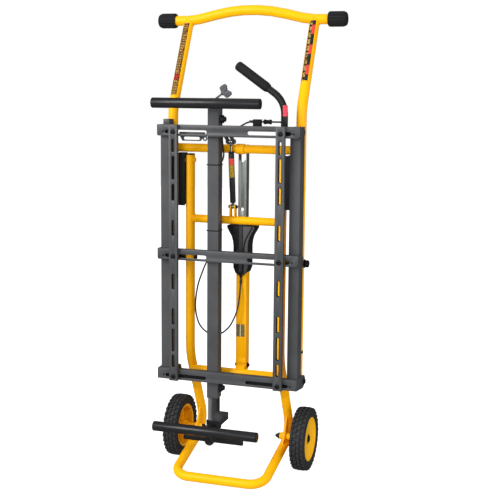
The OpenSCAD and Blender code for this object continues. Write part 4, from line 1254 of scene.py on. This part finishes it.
class STAND_OT_arms(StandOperator, bpy.types.Operator):
    """Extension arms, work supports with their caps, knobs and the flip-down work stop"""

    bl_idname = "stand.arms"
    bl_label = "Arms and supports"

    def execute(self, context):
        for name, body, knob_z in (("upper", "top", 1115), ("lower", "bottom", 276)):
            finish = "black_coat" if name == "upper" else "gloss_black"
            piece(f"{name}_arm_steel", f"{body}_arm", finish,
                  [tube_copy(f"{name}_arm", 1.6, 0.6)], [f"{name}_arm"])
            z = SUPPORT_ZS[name]
            r = SUPPORT_R
            bar = tube([(MAST_X - SUPPORT_HALF + 3, SUPPORT_Y, z), (MAST_X + SUPPORT_HALF - 3, SUPPORT_Y, z)],
                       [], r, 48, 0.6)
            post = lathe([(0, 0), (10, 0), (10, 105), (9.2, 106), (0, 106)], (MAST_X, -126, z), Y, 36)
            ring = []
            for a in turn_steps(36):
                up = 10.4 * math.sin(a)
                ring.append((MAST_X + 10.4 * math.cos(a), SUPPORT_Y + math.sqrt(r * r - up * up), z + up))
            piece(f"{name}_support_roller", f"{body}_support", "gloss_black",
                  [bar, post, bead(ring, 1.8)], [f"{name}_support"])
            caps = [lathe(
                [(0, -12), (r - 1.6, -12), (r - 1.6, -0.6), (r, -0.2), (r, 1.2), (r - 0.9, 2.6),
                 (r - 2.6, 3), (r - 5, 2.4), (0, 2.2)],
                (MAST_X + s * (SUPPORT_HALF - 3), SUPPORT_Y, z), X * s, 48) for _, s in SIDES]
            piece(f"{name}_support_plugs", f"{body}_support", "black_plastic", caps,
                  [f"{name}_caps"])
            x = MAST_X + 18
            flange = lathe(
                [(0, 1), (11.6, 1), (13, 2.4), (13, 8.4), (11.4, 10), (0, 10)], (x, MAST_Y, knob_z), X, 40)
            for v in flange.verts:
                y, up = v.co.y - MAST_Y, v.co.z - knob_z
                dip = 1 - 0.09 * (0.5 + 0.5 * math.cos(8 * math.atan2(up, y)))
                v.co.y, v.co.z = MAST_Y + y * dip, knob_z + up * dip
            boss = lathe([(0, 9), (8, 9), (8, 15.4), (7, 16.7), (0, 17)], (x, MAST_Y, knob_z), X, 32)
            stud = stub((x, MAST_Y, knob_z), X, 4, -2.6, 2)
            piece(f"{name}_arm_turn_knob", f"{body}_knob", "black_plastic",
                  [flange, boss, stud], [f"{name}_arm_knob"])

        place = Matrix.Translation((-56, -45, 1172)) @ Matrix.Rotation(math.radians(54), 4, "Y")
        wing = [stub((0, 0, 0), Z, 3, 8, 34, 20),
                lathe([(0, 31), (5.4, 31), (6.4, 33), (6.6, 42), (5.4, 44.6), (0, 45)], (0, 0, 0), Z, 28)]
        for s in (-1, 1):
            wing.append(plate(
                [(s * 0.5, 35), (s * 8, 34), (s * 19, 37), (s * 20.5, 43), (s * 19, 57), (s * 10, 59),
                 (s * 6, 55), (s * 0.5, 54)], -5.4, 5.4, "XZ", 2.4, 1.6, 4))
            for k in range(3):
                wing.append(slab((s * (9 + 3.2 * k) - 0.8, -6, 39), (s * (9 + 3.2 * k) + 0.8, 6, 54), 0.5, 1))
        for shape in wing:
            shape.transform(place)
        piece("wing_knob_moulded", "wing", "grey_plastic", wing, ["wing_knob"])

        stop = [
            slab((MAST_X - 100, -57, 97), (MAST_X + 100, -47, 111), 1.6, 3),
            slab((MAST_X - 10, -52, 106), (MAST_X + 10, -38, 124), 1.0),
            stub((MAST_X, MAST_Y, 124), X, 7, -11, 11, 32, 0.6),
            stub((MAST_X, MAST_Y, 124), X, 4, -20, 20, 24, 0.6),
            lathe([(0, -20), (6, -19.6), (8, -19), (13.8, -19), (15.4, -18), (16, -16.6), (16, -12),
                   (0, -12)], (MAST_X - 10, MAST_Y, 103), Y, 44)]
        piece("work_stop_bar", "work_stop", "gloss_black", stop, ["stop_bar"])
        return {"FINISHED"}


class STAND_PT_panel(bpy.types.Panel):
    """Lists the stand's sizes, colours and builders"""

    bl_idname = "STAND_PT_panel"
    bl_label = "Saw stand"
    bl_space_type = "VIEW_3D"
    bl_region_type = "UI"
    bl_category = "Saw stand"

    def draw(self, context):
        for group in (colours(), sizes()):
            for name in group.__annotations__:
                self.layout.prop(group, name)
        for maker in OPERATORS:
            self.layout.operator(maker.bl_idname)


OPERATORS = (
    STAND_OT_stage, STAND_OT_wheel_frame, STAND_OT_wheel_frame_fittings, STAND_OT_wheels,
    STAND_OT_handle_frame, STAND_OT_table_steel, STAND_OT_table_fixings, STAND_OT_release_gear,
    STAND_OT_lock_strut, STAND_OT_gas_strut, STAND_OT_arms, STAND_OT_labels,
)
CLASSES = (StandColours, StandSizes, *OPERATORS, STAND_PT_panel)


def register():
    for cls in CLASSES:
        bpy.utils.register_class(cls)
    bpy.types.Scene.stand_colours = bpy.props.PointerProperty(type=StandColours)
    bpy.types.Scene.stand_sizes = bpy.props.PointerProperty(type=StandSizes)


def unregister():
    del bpy.types.Scene.stand_sizes
    del bpy.types.Scene.stand_colours
    for cls in reversed(CLASSES):
        bpy.utils.unregister_class(cls)


def main():
    register()
    for maker in OPERATORS:
        group, name = maker.bl_idname.split(".")
        getattr(getattr(bpy.ops, group), name)()
    left = sorted(n for n, node in NODES.items() if not node.hide_render)
    if left:
        raise RuntimeError(f"these CAD nodes have no finished piece: {left}")


if __name__ == "__main__":
    main()
